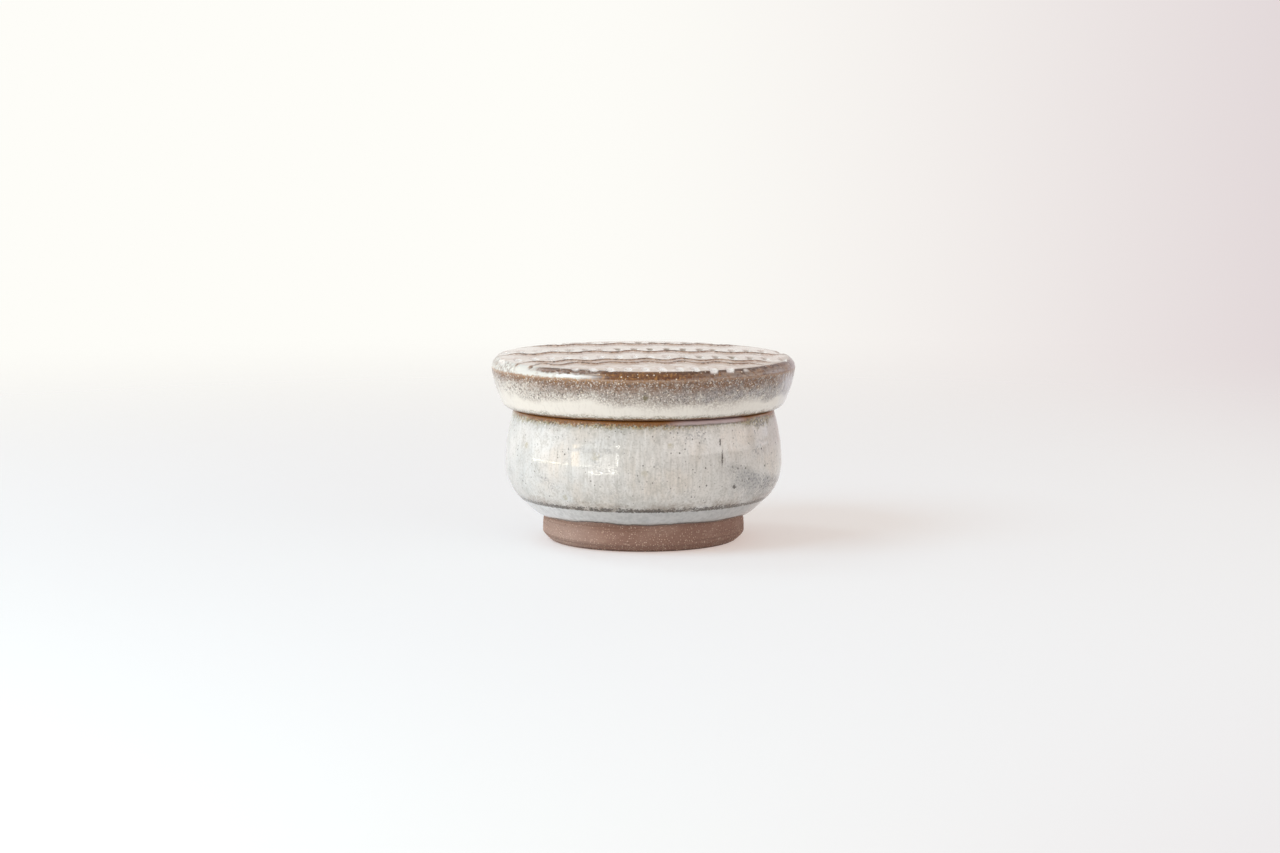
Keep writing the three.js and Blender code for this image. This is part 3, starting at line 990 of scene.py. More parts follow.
    def paint_turned_edge(self, p: Painter, jar: "JarBody") -> None:
        """Paints the turned edge, where the glaze thins to a dark line, and the band under it, painted paler
        and cooler as floor bounce light and darker towards the front right as painted shade.

        Args:
            p: the jar's material.
            jar: the jar, for its heights.
        """
        edge = jar.turned_edge_height
        p.lay(self.umber, p.level(edge + 4.5, edge + 0.4, ragged=3.0, size=0.9),
              p.level(edge - 0.4, edge + 0.1), p.clouds(size=5.0, low=0.35, high=0.6, seed=18.0),
              strength=0.6)
        # painted floor bounce: the band under the turned edge made paler and cooler
        p.lay(self.under, p.level(edge + 0.1, edge - 0.4), strength=0.85)
        # painted shade: that band darker towards the front right
        p.lay(self.ash, p.level(edge + 0.1, edge - 0.4), p.toward(-66.0, start=6.0, end=35.0),
              strength=0.44)
        p.lay(self.slate, p.level(edge - 0.2, edge - 0.6),
              p.clouds(size=1.1, low=0.36, high=0.7, length=2.4, seed=2.5), strength=0.3)
        line = p.level(edge + 1.5, edge + 0.5, ragged=1.4, size=0.7)
        p.lay(self.edge, line, p.level(edge - 0.4, edge, ragged=0.4, size=0.8),
              p.clouds(size=2.6, low=0.27, high=0.5, seed=8.0),
              p.clouds(size=0.6, low=0.28, high=0.5, seed=1.2), strength=0.9)
        p.lay(self.iron, line, p.level(edge - 0.6, edge), p.clouds(size=0.7, low=0.52, high=0.62, seed=1.5),
              strength=0.8)

    def paint_rim(self, p: Painter, jar: "JarBody") -> None:
        """Paints the rim, left brown where the glaze ran off its edge, most in front and to the left, with a
        painted mauve reflection under the lid on the right.

        Args:
            p: the jar's material.
            jar: the jar, for its heights.
        """
        rim, outer = jar.height, p.marks["outer"]
        shore = p.add("ShaderNodeMath", {0: p.toward(245.0, start=10.0, end=36.0),
                                         1: p.toward(-28.0, start=37.0, end=43.0)}, operation="MAXIMUM")
        grain = p.clouds(size=0.7, low=0.3, high=0.54, seed=21.0, detail=2.0)
        with p.within(outer, shore):
            p.lay(self.ash, p.level(rim - 4.8, rim - 1.4, ragged=3.6, size=1.1, length=2.6, seed=3.0),
                  grain, strength=0.65)
            p.lay(self.olive, p.level(rim - 3.0, rim - 1.3, ragged=2.4, size=1.0, length=1.6, seed=5.0),
                  grain, strength=0.85)
            p.lay(self.thin, p.level(rim - 2.0, rim - 1.0, ragged=1.4, size=1.0, length=1.4, seed=3.0),
                  p.clouds(size=10.0, low=0.36, high=0.48, seed=2.0), strength=0.95)
            p.lay(self.edge, p.clouds(size=0.7, low=0.48, high=0.58, seed=11.0, detail=2.0),
                  p.level(rim - 3.0, rim - 1.4), strength=0.7)
            p.lay(self.gold, p.clouds(size=0.6, low=0.56, high=0.64, seed=9.0, detail=2.0),
                  p.level(rim - 2.6, rim - 1.4), strength=0.6)
            p.lay(self.gold, p.specks(spacing=0.8, size=0.5, share=0.45, seed=2.0),
                  p.level(rim - 2.8, rim - 1.8), strength=0.8)
        with p.within(outer):
            p.lay(self.iron, p.specks(spacing=1.4, size=0.6, share=0.45, seed=12.0),
                  p.level(rim - 9.0, rim - 4.0, ragged=3.0, size=4.0), strength=0.65)
            drip = p.spot((36.6, -23.9, rim - 1.6), size=9.0, length=5.4)
            p.lay(self.olive, drip, grain, strength=0.75)
            p.lay(self.edge, drip, p.clouds(size=0.6, low=0.44, high=0.58, seed=6.5, detail=2.0),
                  strength=0.7)
        p.lay(self.thin, p.level(rim - 1.2, rim - 0.5, ragged=0.6, size=0.9, seed=7.0), strength=0.85)
        # painted reflection: a pale mauve strip under the lid on the right, then a dark line along it
        right = p.toward(-60.0, start=40.0, end=42.5)
        with p.within(outer):
            p.lay(self.mauve, right, p.level(rim - 1.7, rim - 1.2), strength=0.85)
            p.lay(self.edge, right, p.level(rim - 2.1, rim - 1.7, ragged=0.3, size=2.0),
                  p.level(rim - 1.1, rim - 1.5, ragged=0.3, size=2.0), strength=0.6)

    def paint_glaze_line(self, p: Painter) -> None:
        """Paints the end of the glaze over the foot, which is thin and dark.

        Args:
            p: the jar's material.
        """
        over = p.marks["over_line"]
        p.lay(self.ash, p.level(1.6, 0.5, of=over), p.clouds(size=0.8, low=0.3, high=0.6, seed=5.5),
              strength=0.5)
        p.lay(self.edge, p.level(0.75, 0.3, of=over), p.clouds(size=3.0, low=0.3, high=0.5, seed=7.5),
              strength=0.9)


@dataclass(frozen=True)
class BreakingGlaze(Glaze):
    """The same milky glaze on the lid, breaking to brown over its ridge, its waves and its strokes' lips."""

    ripple_size: float = 2.0
    ripple_height: float = 0.02
    pit_height: float = 0.01
    cream: Finish = Finish("#E7E4DB", 0.08)
    veil: Finish = Finish("#978B81", 0.16)
    # painted reflection: a pale lilac for the far right of the lid's side and edge
    lilac: Finish = Finish("#D0CED4", 0.14)
    slate: Finish = Finish("#83848B", 0.16)
    brown: Finish = Finish("#7A5536", 0.2)
    rust: Finish = Finish("#6B3F17", 0.16)
    dark: Finish = Finish("#452C1A", 0.25)
    tan: Finish = Finish("#B3957A", 0.15)
    gold: Finish = Finish("#A87A42", 0.12)
    celadon: Finish = Finish("#DCDED8", 0.05)
    rose: Finish = Finish("#E2D0C5", 0.12)
    pool: Finish = Finish("#F6F2EC", 0.1)
    grey: Finish = Finish("#A8866C", 0.18)
    # painted glints: pale specks standing in for sparkles on the glaze
    painted_glint: Finish = Finish("#F0E4CE", 0.2)
    iron: Finish = Finish("#4A4440", 0.3)
    olive: Finish = Finish("#655B3A", 0.3)

    def dress(self, name: str, clay: StonewareClay, lid: "Lid") -> bpy.types.Material:
        """Makes the lid's material.

        Args:
            name: the material's name.
            clay: the bare clay under the glaze.
            lid: the lid, for the heights and widths at which the glaze changes.

        Returns:
            The finished material.
        """
        p = Painter(name, self.cream, ("coat", "outer", "climb", "stroke", "tip", "wave"))
        with p.within(p.marks["outer"]):
            self.paint_side(p, lid)
            self.paint_edge(p, lid)
        self.paint_top(p, lid)
        p.lay(self.iron, p.specks(spacing=3.6, size=0.6, share=0.3, seed=8.0), strength=0.75)
        p.lay(self.olive, p.specks(spacing=20.0, size=2.4, share=0.5, seed=4.0), p.marks["outer"],
              strength=0.8)
        return self.fire(p, clay)

    def paint_side(self, p: Painter, lid: "Lid") -> None:
        """Paints the side: cream below, through a speckled grey veil, to brown under the ridge, with painted
        glints below the ridge and a painted lilac reflection on the far right.

        Args:
            p: the lid's material.
            lid: the lid, for its heights.
        """
        ridge = lid.ridge_height
        seat = lid.seat_height
        shore = p.level(ridge - 8.8, ridge - 5.6, ragged=3.4, size=12.0, seed=1.0)
        body = p.level(ridge - 6.4, ridge - 3.4, ragged=3.4, size=12.0, seed=1.0)
        left = p.toward(190.0, start=34.0, end=47.0)
        p.lay(self.veil, shore, p.clouds(size=0.6, low=0.32, high=0.58, seed=2.0, detail=2.0),
              strength=0.85)
        p.lay(self.veil, body, strength=0.75)
        p.lay(self.veil, p.toward(-74.0, start=40.0, end=48.5),
              p.level(ridge - 11.0, ridge - 6.2, ragged=3.4, size=9.0, seed=4.0),
              p.clouds(size=0.6, low=0.36, high=0.6, seed=7.0, detail=2.0), strength=0.7)
        p.lay(self.slate, p.toward(-34.0, start=26.0, end=46.0), shore,
              p.clouds(size=2.4, low=0.36, high=0.6, seed=8.0), strength=0.5)
        p.lay(self.brown, p.level(ridge - 5.0, ridge - 1.2, ragged=2.6, size=4.0, seed=3.0),
              p.clouds(size=0.9, low=0.3, high=0.54, seed=13.0, detail=2.0), strength=0.9)
        p.lay(self.cream, left, p.level(ridge - 0.6, ridge - 3.0, ragged=2.4, size=4.0, seed=6.0),
              p.clouds(size=0.8, low=0.3, high=0.6, seed=12.0, detail=2.0), strength=0.75)
        p.lay(self.cream, p.clouds(size=0.55, low=0.57, high=0.65, seed=5.0, detail=2.0), shore,
              strength=0.65)
        p.lay(self.iron, p.clouds(size=0.55, low=0.56, high=0.64, seed=4.0, detail=2.0), shore,
              strength=0.7)
        # painted glints: pale specks on the side below the ridge
        p.lay(self.painted_glint, p.specks(spacing=1.2, size=0.6, share=0.45, seed=2.0), body, strength=0.9)
        p.lay(self.iron, p.specks(spacing=1.6, size=0.75, share=0.5, seed=9.0), shore, strength=0.8)
        p.lay(self.olive, p.level(seat + 2.2, seat + 0.8, ragged=1.6, size=5.0, seed=2.0),
              p.clouds(size=0.6, low=0.35, high=0.6, seed=1.0), strength=0.7)
        p.lay(self.brown, p.level(seat + 1.1, seat + 0.4, ragged=0.7, size=3.0), strength=0.9)
        p.lay(self.olive, p.spot((0.7, -48.9, 51.7), size=2.0), strength=0.85)
        # painted reflection: pale lilac streaks on the side's far right
        p.lay(self.lilac, p.toward(-4.0, start=43.5, end=49.0),
              p.level(ridge + 0.4, ridge - 3.0, ragged=2.4, size=3.0, seed=5.0),
              p.clouds(size=0.8, low=0.3, high=0.55, length=5.0, seed=16.0), strength=0.85)
        p.lay(self.veil, p.clouds(size=0.9, low=0.5, high=0.7, length=6.0, seed=14.0), strength=0.14)
        p.lay(self.iron, p.clouds(size=2.2, low=0.52, high=0.68, seed=3.0), shore,
              p.clouds(size=0.6, low=0.35, high=0.6, seed=8.0), strength=0.35)
        p.lay(self.cream, p.clouds(size=2.4, low=0.55, high=0.7, seed=19.0), shore,
              p.clouds(size=0.6, low=0.35, high=0.6, seed=18.0), strength=0.45)

    def paint_edge(self, p: Painter, lid: "Lid") -> None:
        """Paints the rounded edge over the ridge: brown in front, greyer to the right, pale to the left, with
        a painted highlight and glints along the ridge and a painted lilac reflection on the far right.

        Args:
            p: the lid's material.
            lid: the lid, for its heights.
        """
        climb = p.marks["climb"]
        rise = lid.edge_rise - lid.ridge_rise
        above = p.level(0.2, 0.9, ragged=0.6, size=1.6, of=climb)
        lip = p.level(rise - 1.8, rise - 1.0, ragged=0.8, size=1.6, of=climb)
        right = p.toward(-18.0, start=22.0, end=44.0)
        left = p.toward(213.0, start=35.0, end=44.0)
        # painted highlight: a lighter line along the ridge
        p.lay(self.tan, p.level(-0.6, 0.0, of=climb), p.level(0.9, 0.3, of=climb), strength=0.4)
        p.lay(self.rust, above, strength=0.92)
        p.lay(self.dark, p.clouds(size=0.7, low=0.5, high=0.6, seed=14.0, detail=2.0), above, strength=0.65)
        p.lay(self.gold, p.clouds(size=0.9, low=0.48, high=0.66, seed=10.0, detail=2.0), above,
              strength=0.7)
        p.lay(self.veil, right, p.clouds(size=1.2, low=0.3, high=0.52, seed=9.5), above, strength=0.85)
        p.lay(self.celadon, left, p.clouds(size=4.0, low=0.22, high=0.42, seed=8.5), above, strength=0.95)
        p.lay(self.veil, p.toward(190.0, start=44.0, end=47.0),
              p.clouds(size=1.0, low=0.4, high=0.6, seed=5.0), above, strength=0.8)
        scallop = p.clouds(size=3.2, low=0.3, high=0.44, seed=11.5)
        near = p.toward(255.0, start=41.0, end=45.5)
        p.lay(self.rust, left, near, lip, scallop)
        p.lay(self.dark, left, near, lip, scallop,
              p.clouds(size=0.7, low=0.42, high=0.56, seed=3.0, detail=2.0), strength=0.85)
        flank = p.toward(-24.0, start=34.0, end=45.0)
        p.lay(self.tan, flank, p.clouds(size=2.6, low=0.46, high=0.62, seed=25.0),
              p.clouds(size=0.7, low=0.3, high=0.6, seed=27.0), above, strength=0.6)
        p.lay(self.dark, p.toward(-50.0, start=36.0, end=45.0),
              p.level(rise - 1.3, rise - 0.6, ragged=1.4, size=2.6, seed=4.0, of=climb),
              p.clouds(size=1.1, low=0.28, high=0.5, seed=22.0, detail=2.0), strength=0.75)
        p.lay(self.dark, flank, p.clouds(size=3.0, low=0.56, high=0.64, length=0.8, seed=26.0), above,
              strength=0.6)
        # painted reflection: pale lilac on the edge's far right
        p.lay(self.lilac, p.toward(-4.0, start=47.0, end=49.6),
              p.clouds(size=0.9, low=0.3, high=0.6, seed=28.0), above, strength=0.55)
        # painted highlight: golden sparkles along the ridge on the left, and pale glints all along it
        ridge_highlight = p.level(-1.4, -0.5, ragged=0.8, size=1.6, of=climb)
        p.lay(self.gold, p.toward(225.0, start=20.0, end=46.0), ridge_highlight, p.level(1.1, 0.5, of=climb),
              p.clouds(size=0.6, low=0.5, high=0.62, seed=2.0, detail=2.0), strength=0.55)
        p.lay(self.painted_glint, p.specks(spacing=1.0, size=0.6, share=0.4, seed=6.0), ridge_highlight, strength=0.85)

    def paint_top(self, p: Painter, lid: "Lid") -> None:
        """Paints the pressed top: rosy white, brown on the waves, white in the strokes, grey at their tips.

        Args:
            p: the lid's material.
            lid: the lid, for the widths of its strokes and waves.
        """
        climb = p.marks["climb"]
        rise = lid.edge_rise - lid.ridge_rise
        top = p.level(rise * lid.press_start, rise, of=climb)
        face = p.level(rise - 0.15, rise + 0.1, of=climb)
        half = lid.stroke_width / 2
        line = lid.wave_width / 2
        bed = p.level(half * 1.1, half * 0.6, of=p.marks["stroke"])
        pit = p.level(half * 1.1, half * 0.4, of=p.marks["tip"])
        wave = p.marks["wave"]
        crest = p.level(line * 1.3, line * 0.3, ragged=line * 0.8, size=1.2, of=wave)
        core = p.level(line * 0.75, line * 0.2, ragged=line * 0.9, size=0.9, seed=2.0, of=wave)
        rusty = p.clouds(size=26.0, low=0.24, high=0.46, seed=15.0)
        behind = p.toward(60.0, start=-8.0, end=4.0)
        p.lay(self.rose, face)
        p.lay(self.tan, p.clouds(size=6.0, low=0.5, high=0.72, seed=12.5),
              p.clouds(size=0.8, low=0.3, high=0.65, seed=4.5), face, strength=0.4)
        p.lay(self.pool, p.clouds(size=8.0, low=0.42, high=0.62, seed=6.0),
              p.clouds(size=0.9, low=0.25, high=0.6, seed=9.0), face, strength=0.6)
        p.lay(self.tan, p.clouds(size=3.4, low=0.38, high=0.6, seed=29.0),
              p.toward(-90.0, start=0.0, end=24.0), face, strength=0.55)
        p.lay(self.grey, p.clouds(size=0.7, low=0.52, high=0.78, seed=7.0), face, strength=0.45)
        p.lay(self.iron, p.specks(spacing=1.7, size=0.42, share=0.4, seed=3.0), face, strength=0.6)
        p.lay(self.tan, crest, top, strength=0.6)
        p.lay(self.grey, crest, p.clouds(size=1.0, low=0.35, high=0.6, seed=5.5), top, strength=0.7)
        p.lay(self.rust, core, rusty, p.clouds(size=1.6, low=0.24, high=0.46, seed=20.0), top,
              strength=0.85)
        p.lay(self.dark, core, rusty, p.clouds(size=3.0, low=0.46, high=0.6, seed=17.0), top, strength=0.75)
        p.lay(self.brown, p.level(rise + 0.16, rise, ragged=0.12, size=3.0, of=climb),
              p.toward(8.0, start=22.0, end=44.0), face, strength=0.6)
        p.lay(self.pool, bed, top)
        lip = (p.toward(247.0, start=44.8, end=47.2), p.level(rise - 1.2, rise - 0.6, of=climb),
               p.level(rise + 0.26, rise + 0.06, ragged=0.24, size=2.6, seed=5.0, of=climb))
        p.lay(self.rust, *lip, p.clouds(size=2.4, low=0.36, high=0.48, seed=23.0), strength=0.9)
        p.lay(self.dark, *lip, p.clouds(size=0.7, low=0.42, high=0.56, seed=24.0, detail=2.0), strength=0.8)
        p.lay(self.grey, pit, behind, top, strength=0.5)
        p.lay(self.olive, pit, p.clouds(size=9.0, low=0.4, high=0.58, seed=3.5), behind, top, strength=0.65)


@dataclass(frozen=True)
class GrogGrain:
    """A fired clay grain: dry and pale, and smoother than the clay round it."""

    tone: Finish = Finish("#D2BAA6", 0.7)
    shade: Finish = Finish("#A98E7C", 0.75)
    ior: float = 1.5

    def dress(self, name: str) -> bpy.types.Material:
        """Makes the grains' material.

        Args:
            name: the material's name.

        Returns:
            The finished material.
        """
        p = Painter(name, self.tone)
        p.lay(self.shade, p.clouds(size=0.6, low=0.4, high=0.6))
        p.emboss(0.01, p.clouds(size=0.2, low=0.3, high=0.7))
        return p.fired(self.ior)


@dataclass
class JarBody:
    """The thrown jar: a trimmed foot ring, a turned edge, a belly and a mouth for the lid's flange.

    Sizes are in millimetres. Pulls are shares of the way out and up, and out_of_round and ring_depth are
    shares of a radius.
    """

    belly_radius: float
    height: float
    foot_radius: float = 33.4
    foot_height: float = 8.6
    foot_necking: float = 0.3
    foot_bevel_width: float = 2.8
    foot_bevel_height: float = 2.7
    foot_flat_width: float = 4.6
    recess_depth: float = 5.4
    recess_fillet: float = 1.6
    turned_edge_radius: float = 41.5
    turned_edge_height: float = 14.5
    turned_edge_step: float = 0.4
    belly_height: float = 26.0
    rim_radius: float = 43.2
    rim_bevel: float = 0.9
    wall: float = 5.1
    floor: float = 5.6
    floor_flat_radius: float = 24.0
    mouth_radius: float = 38.0
    mouth_rounding: float = 1.0
    underside_pulls: Pulls = ((0.3, 0.12), (0.75, 0.65))
    lower_belly_pulls: Pulls = ((0.6, 0.25), (1.0, 0.55))
    upper_belly_pulls: Pulls = ((0.0, 0.45), (0.7, 0.75))
    inner_wall_pulls: Pulls = ((0.0, 0.4), (1.0, 0.7))
    inner_floor_pulls: Pulls = ((0.0, 0.47), (0.52, 1.0))
    sponging: int = 2
    steps_round: int = 360
    glaze_rise: float = 0.6
    glaze_swing: float = 0.8
    glaze_lip: float = 0.45
    out_of_round: float = 0.0022
    ring_depth: float = 0.0016
    ring_spacing: float = 3.4
    wheel_seed: float = 4.0
    grog_per_square_metre: float = 5e5
    grog_smallest: float = 0.07
    grog_largest: float = 0.23
    grog_seed: int = 11

    def section(self) -> Section:
        """Draws the jar's section.

        Returns:
            The section, with the foot and the seat bare and the rest glazed.
        """
        flat = self.foot_radius - self.foot_bevel_width
        recess, roof, fillet = flat - self.foot_flat_width, self.recess_depth, self.recess_fillet
        foot_top = (self.foot_radius - self.foot_necking, self.foot_height)
        under_edge = (self.turned_edge_radius - self.turned_edge_step, self.turned_edge_height)
        edge = (self.turned_edge_radius, self.turned_edge_height)
        belly = (self.belly_radius, self.belly_height)
        rim, top = (self.rim_radius, self.height), self.height
        mouth = (self.mouth_radius, top)
        inside = (self.belly_radius - self.wall, self.belly_height)
        floor = (self.floor_flat_radius, self.recess_depth + self.floor)
        s = Section()
        s.face(Coat.BARE, Side.INNER)
        s.curve((0, roof), step=1.5)
        s.curve((recess - fillet, roof), step=1.6)
        s.curve((recess, roof - fillet), step=0.7, pulls=((recess, roof),))
        s.curve((recess, 0), step=0.8)
        s.face(Coat.BARE, Side.OUTER)
        s.curve((flat, 0), step=0.8)
        s.curve((self.foot_radius, self.foot_bevel_height), step=0.5)
        s.face(Coat.GLAZED, Side.OUTER)
        s.curve(foot_top, step=0.3)
        s.curve(under_edge, step=0.4, pulls=pulled(foot_top, under_edge, self.underside_pulls))
        s.curve((edge[0], edge[1] + self.turned_edge_step), step=0.25)
        s.curve(belly, step=0.7, pulls=pulled(edge, belly, self.lower_belly_pulls))
        s.curve((rim[0], top - self.rim_bevel), step=0.7, pulls=pulled(belly, rim, self.upper_belly_pulls))
        s.curve((rim[0] - self.rim_bevel, top), step=0.25, pulls=(rim,))
        s.face(Coat.BARE, Side.INNER)
        s.curve((mouth[0] + self.mouth_rounding, top), step=0.6)
        s.curve((mouth[0], top - self.mouth_rounding), step=0.35, pulls=(mouth,))
        s.face(Coat.GLAZED, Side.INNER)
        s.curve(inside, step=1.2, pulls=pulled(mouth, inside, self.inner_wall_pulls))
        s.curve(floor, step=1.2, pulls=pulled(inside, floor, self.inner_floor_pulls))
        s.curve((0, floor[1]), step=1.6)
        s.soften(self.sponging)
        return s

    def build(self, glaze: MilkAshGlaze, clay: StonewareClay) -> bpy.types.Object:
        """Throws the jar and dresses it.

        Args:
            glaze: the glaze on its wall and inside.
            clay: the clay of its foot and its seat.

        Returns:
            The finished jar.
        """
        section = self.section()
        shape = section.guide("jar")
        wheel = WheelTurning(
            points_along=len(section.places), steps_round=self.steps_round,
            glaze_line=(self.foot_height + self.glaze_rise) * MM, line_swing=self.glaze_swing * MM,
            glaze_lip=self.glaze_lip / self.foot_radius, out_of_round=self.out_of_round,
            ring_depth=self.ring_depth, ring_spacing=self.ring_spacing * MM, seed=self.wheel_seed)
        wheel.run(shape, glaze.dress("milk_ash_glaze_on_stoneware", clay, self))
        return shape

    def strew(self, jar: bpy.types.Object, grog: GrogGrain) -> bpy.types.Object:
        """Strews grog grains on the jar's bare foot.

        Args:
            jar: the thrown jar.
            grog: the grains' finish.

        Returns:
            The grains as one piece.
        """
        grains = bpy.data.objects.new("foot_grog", jar.data.copy())
        bpy.context.scene.collection.objects.link(grains)
        scatter = GrogScatter(
            per_square_metre=self.grog_per_square_metre, smallest=self.grog_smallest * MM,
            largest=self.grog_largest * MM, inner_radius=(self.foot_radius - self.foot_bevel_width) * MM,
            seed=self.grog_seed)
        scatter.run(grains, grog.dress("fired_grog"))
        return grains


@dataclass
class Lid:
    """The thrown lid: a flange that drops into the mouth, a flared side, and a leaning top pressed in rows.

    Sizes are in millimetres, and pattern_turn is in degrees. Pulls are shares of the way out and up,
    out_of_round and ring_depth are shares of a radius, and press_start is one of the way from ridge to edge.
    """

    jar: JarBody
    radius: float = 50.1
    seat_gap: float = 0.3
    flange_clearance: float = 1.3
    flange_depth: float = 7.0
    flange_wall: float = 4.0
    flange_rounding: float = 1.2
    crown: float = 7.4
    hollow_fillet: float = 3.0
    overhang: float = 0.5
    waist_radius: float = 47.3
    waist_rise: float = 3.3
    ridge_rise: float = 13.0
    edge_radius: float = 48.0
    edge_rise: float = 16.7
    dome: float = 1.2
    waist_pulls: Pulls = ((0.5, 0.0), (0.85, 0.4))
    side_pulls: Pulls = ((0.5, 0.25), (0.75, 0.6))
    edge_pulls: Pulls = ((0.0, 0.6),)
    dome_pulls: Pulls = ((0.5, 1.0),)
    sponging: int = 2
    lean_back: float = 1.65
    lean_right: float = -0.5
    pattern_turn: float = 4.2
    press_start: float = 0.55
    rows: tuple[StrokeRow, ...] = (
        StrokeRow(place=-42.3, shift=2.6), StrokeRow(place=-13.5, shift=1.4),
        StrokeRow(place=9.0, shift=3.1), StrokeRow(place=37.5, shift=0.8))
    stroke_pitch: float = 5.4
    stroke_width: float = 2.9
    stroke_length: float = 9.0
    stroke_depth: float = 0.7
    stroke_jitter: float = 0.35
    stroke_seed: int = 5
    waves: tuple[Wave, ...] = (
        Wave(place=-29.1, crest=-0.9, length=11.2), Wave(place=-22.4, crest=-1.2, length=12.1),
        Wave(place=0.0, crest=-3.9, length=13.0), Wave(place=27.5, crest=-6.4, length=13.6))
    wave_swing: float = 1.9
    wave_height: float = 0.5
    wave_width: float = 2.4
    steps_round: int = 448
    out_of_round: float = 0.0018
    ring_depth: float = 0.0012
    ring_spacing: float = 3.0
    wheel_seed: float = 9.0

    @property
    def seat_height(self) -> float:
        """Height of the face that rests on the jar's rim."""
        return self.jar.height + self.seat_gap

    @property
    def ridge_height(self) -> float:
        """Height of the widest line of the lid's side."""
        return self.seat_height + self.ridge_rise

    @property
    def edge_height(self) -> float:
        """Height of the top's edge before it leans."""
        return self.seat_height + self.edge_rise

    def section(self) -> Section:
        """Draws the lid's section.

        Returns:
            The section, with the seat and the flange bare and the rest glazed.
        """
        seat, top = self.seat_height, self.edge_height + self.dome
        flange = self.jar.mouth_radius - self.flange_clearance
        hollow, roof = flange - self.flange_wall, top - self.crown
        bottom, rounding = seat - self.flange_depth, self.flange_rounding
        foot = (self.jar.rim_radius + self.overhang, seat)
        waist = (self.waist_radius, seat + self.waist_rise)
        ridge = (self.radius, self.ridge_height)
        edge = (self.edge_radius, self.edge_height)
        middle = (0.0, top)
        s = Section()
        s.face(Coat.GLAZED, Side.INNER)
        s.curve((0, roof), step=1.5)
        s.curve((hollow - self.hollow_fillet, roof), step=2.0)
        s.curve((hollow, roof - self.hollow_fillet), step=0.8, pulls=((hollow, roof),))
        s.curve((hollow, bottom + rounding), step=1.4)
        s.face(Coat.BARE, Side.INNER)
        s.curve((hollow + rounding, bottom), step=0.5, pulls=((hollow, bottom),))
        s.curve((flange - rounding, bottom), step=0.8)
        s.curve((flange, bottom + rounding), step=0.5, pulls=((flange, bottom),))
        s.curve((flange, seat), step=1.0)
        s.curve(foot, step=0.8)
        s.face(Coat.GLAZED, Side.OUTER)
        s.curve(waist, step=0.45, pulls=pulled(foot, waist, self.waist_pulls))
        s.curve(ridge, step=0.55, pulls=pulled(waist, ridge, self.side_pulls))
        s.curve(edge, step=0.3, pulls=pulled(ridge, edge, self.edge_pulls))
        s.curve(middle, step=0.42, pulls=pulled(edge, middle, self.dome_pulls))
        s.soften(self.sponging)
        return s

    def build(self, glaze: BreakingGlaze, clay: StonewareClay) -> bpy.types.Object:
        """Throws the lid, presses its top and dresses it.

        Args:
            glaze: the glaze on its side, its top and its hollow.
            clay: the clay of its seat and flange.

        Returns:
            The finished lid.
        """
        section = self.section()
        shape = section.guide("lid_shell")
        material = glaze.dress("breaking_glaze_on_stoneware", clay, self)
        wheel = WheelTurning(
            points_along=len(section.places), steps_round=self.steps_round, glaze_line=0.0, line_swing=0.0,
            glaze_lip=0.0, out_of_round=self.out_of_round, ring_depth=self.ring_depth,
            ring_spacing=self.ring_spacing * MM, seed=self.wheel_seed)
        wheel.run(shape, material)
        press = PressedTop({
            "Stroke Pitch": self.stroke_pitch * MM, "Stroke Width": self.stroke_width * MM,
            "Stroke Length": self.stroke_length * MM, "Stroke Depth": self.stroke_depth * MM,
            "Strokes Along": 2 * round(self.edge_radius / self.stroke_pitch) + 1,
            "Jitter": self.stroke_jitter * MM, "Turn": math.radians(self.pattern_turn),
            "Wave Swing": self.wave_swing * MM, "Wave Height": self.wave_height * MM,
            "Wave Width": self.wave_width * MM, "Lid Radius": self.radius * MM,
            "Ridge Height": self.ridge_height * MM,
            "Cut Height": between(self.ridge_height, self.edge_height, self.press_start) * MM,
            "Edge Height": self.edge_height * MM, "Lean Back": self.lean_back / (2 * self.edge_radius),
            "Lean Right": self.lean_right / (2 * self.edge_radius), "Seed": self.stroke_seed},
            self.rows, self.waves)
        press.run(shape, material)
        return shape


@dataclass(frozen=True)
class Lamp:
    """A soft lamp that faces the jar, with lengths in metres, angles in degrees and its power in watts.

    Its azimuth counts from the camera's side, to the left.
    """

    name: str
    azimuth: float
    elevation: float
    distance: float
    width: float
    height: float
    power: float
    colour: str

    def hang(self, aim: Place) -> None:
        """Hangs the lamp.

        Args:
            aim: the point that it faces.
        """
        light = bpy.data.lights.new(self.name, "AREA")
        light.shape, light.size, light.size_y = "RECTANGLE", self.width, self.height
        light.energy, light.color = self.power, linear(self.colour)[:3]
        lamp = bpy.data.objects.new(self.name, light)
        around, up = math.radians(self.azimuth), math.radians(self.elevation)
        away = Vector((-math.sin(around) * math.cos(up), -math.cos(around) * math.cos(up), math.sin(up)))
        lamp.location = Vector(aim) + away * self.distance
        lamp.rotation_euler = away.to_track_quat("Z", "Y").to_euler()
        bpy.context.scene.collection.objects.link(lamp)


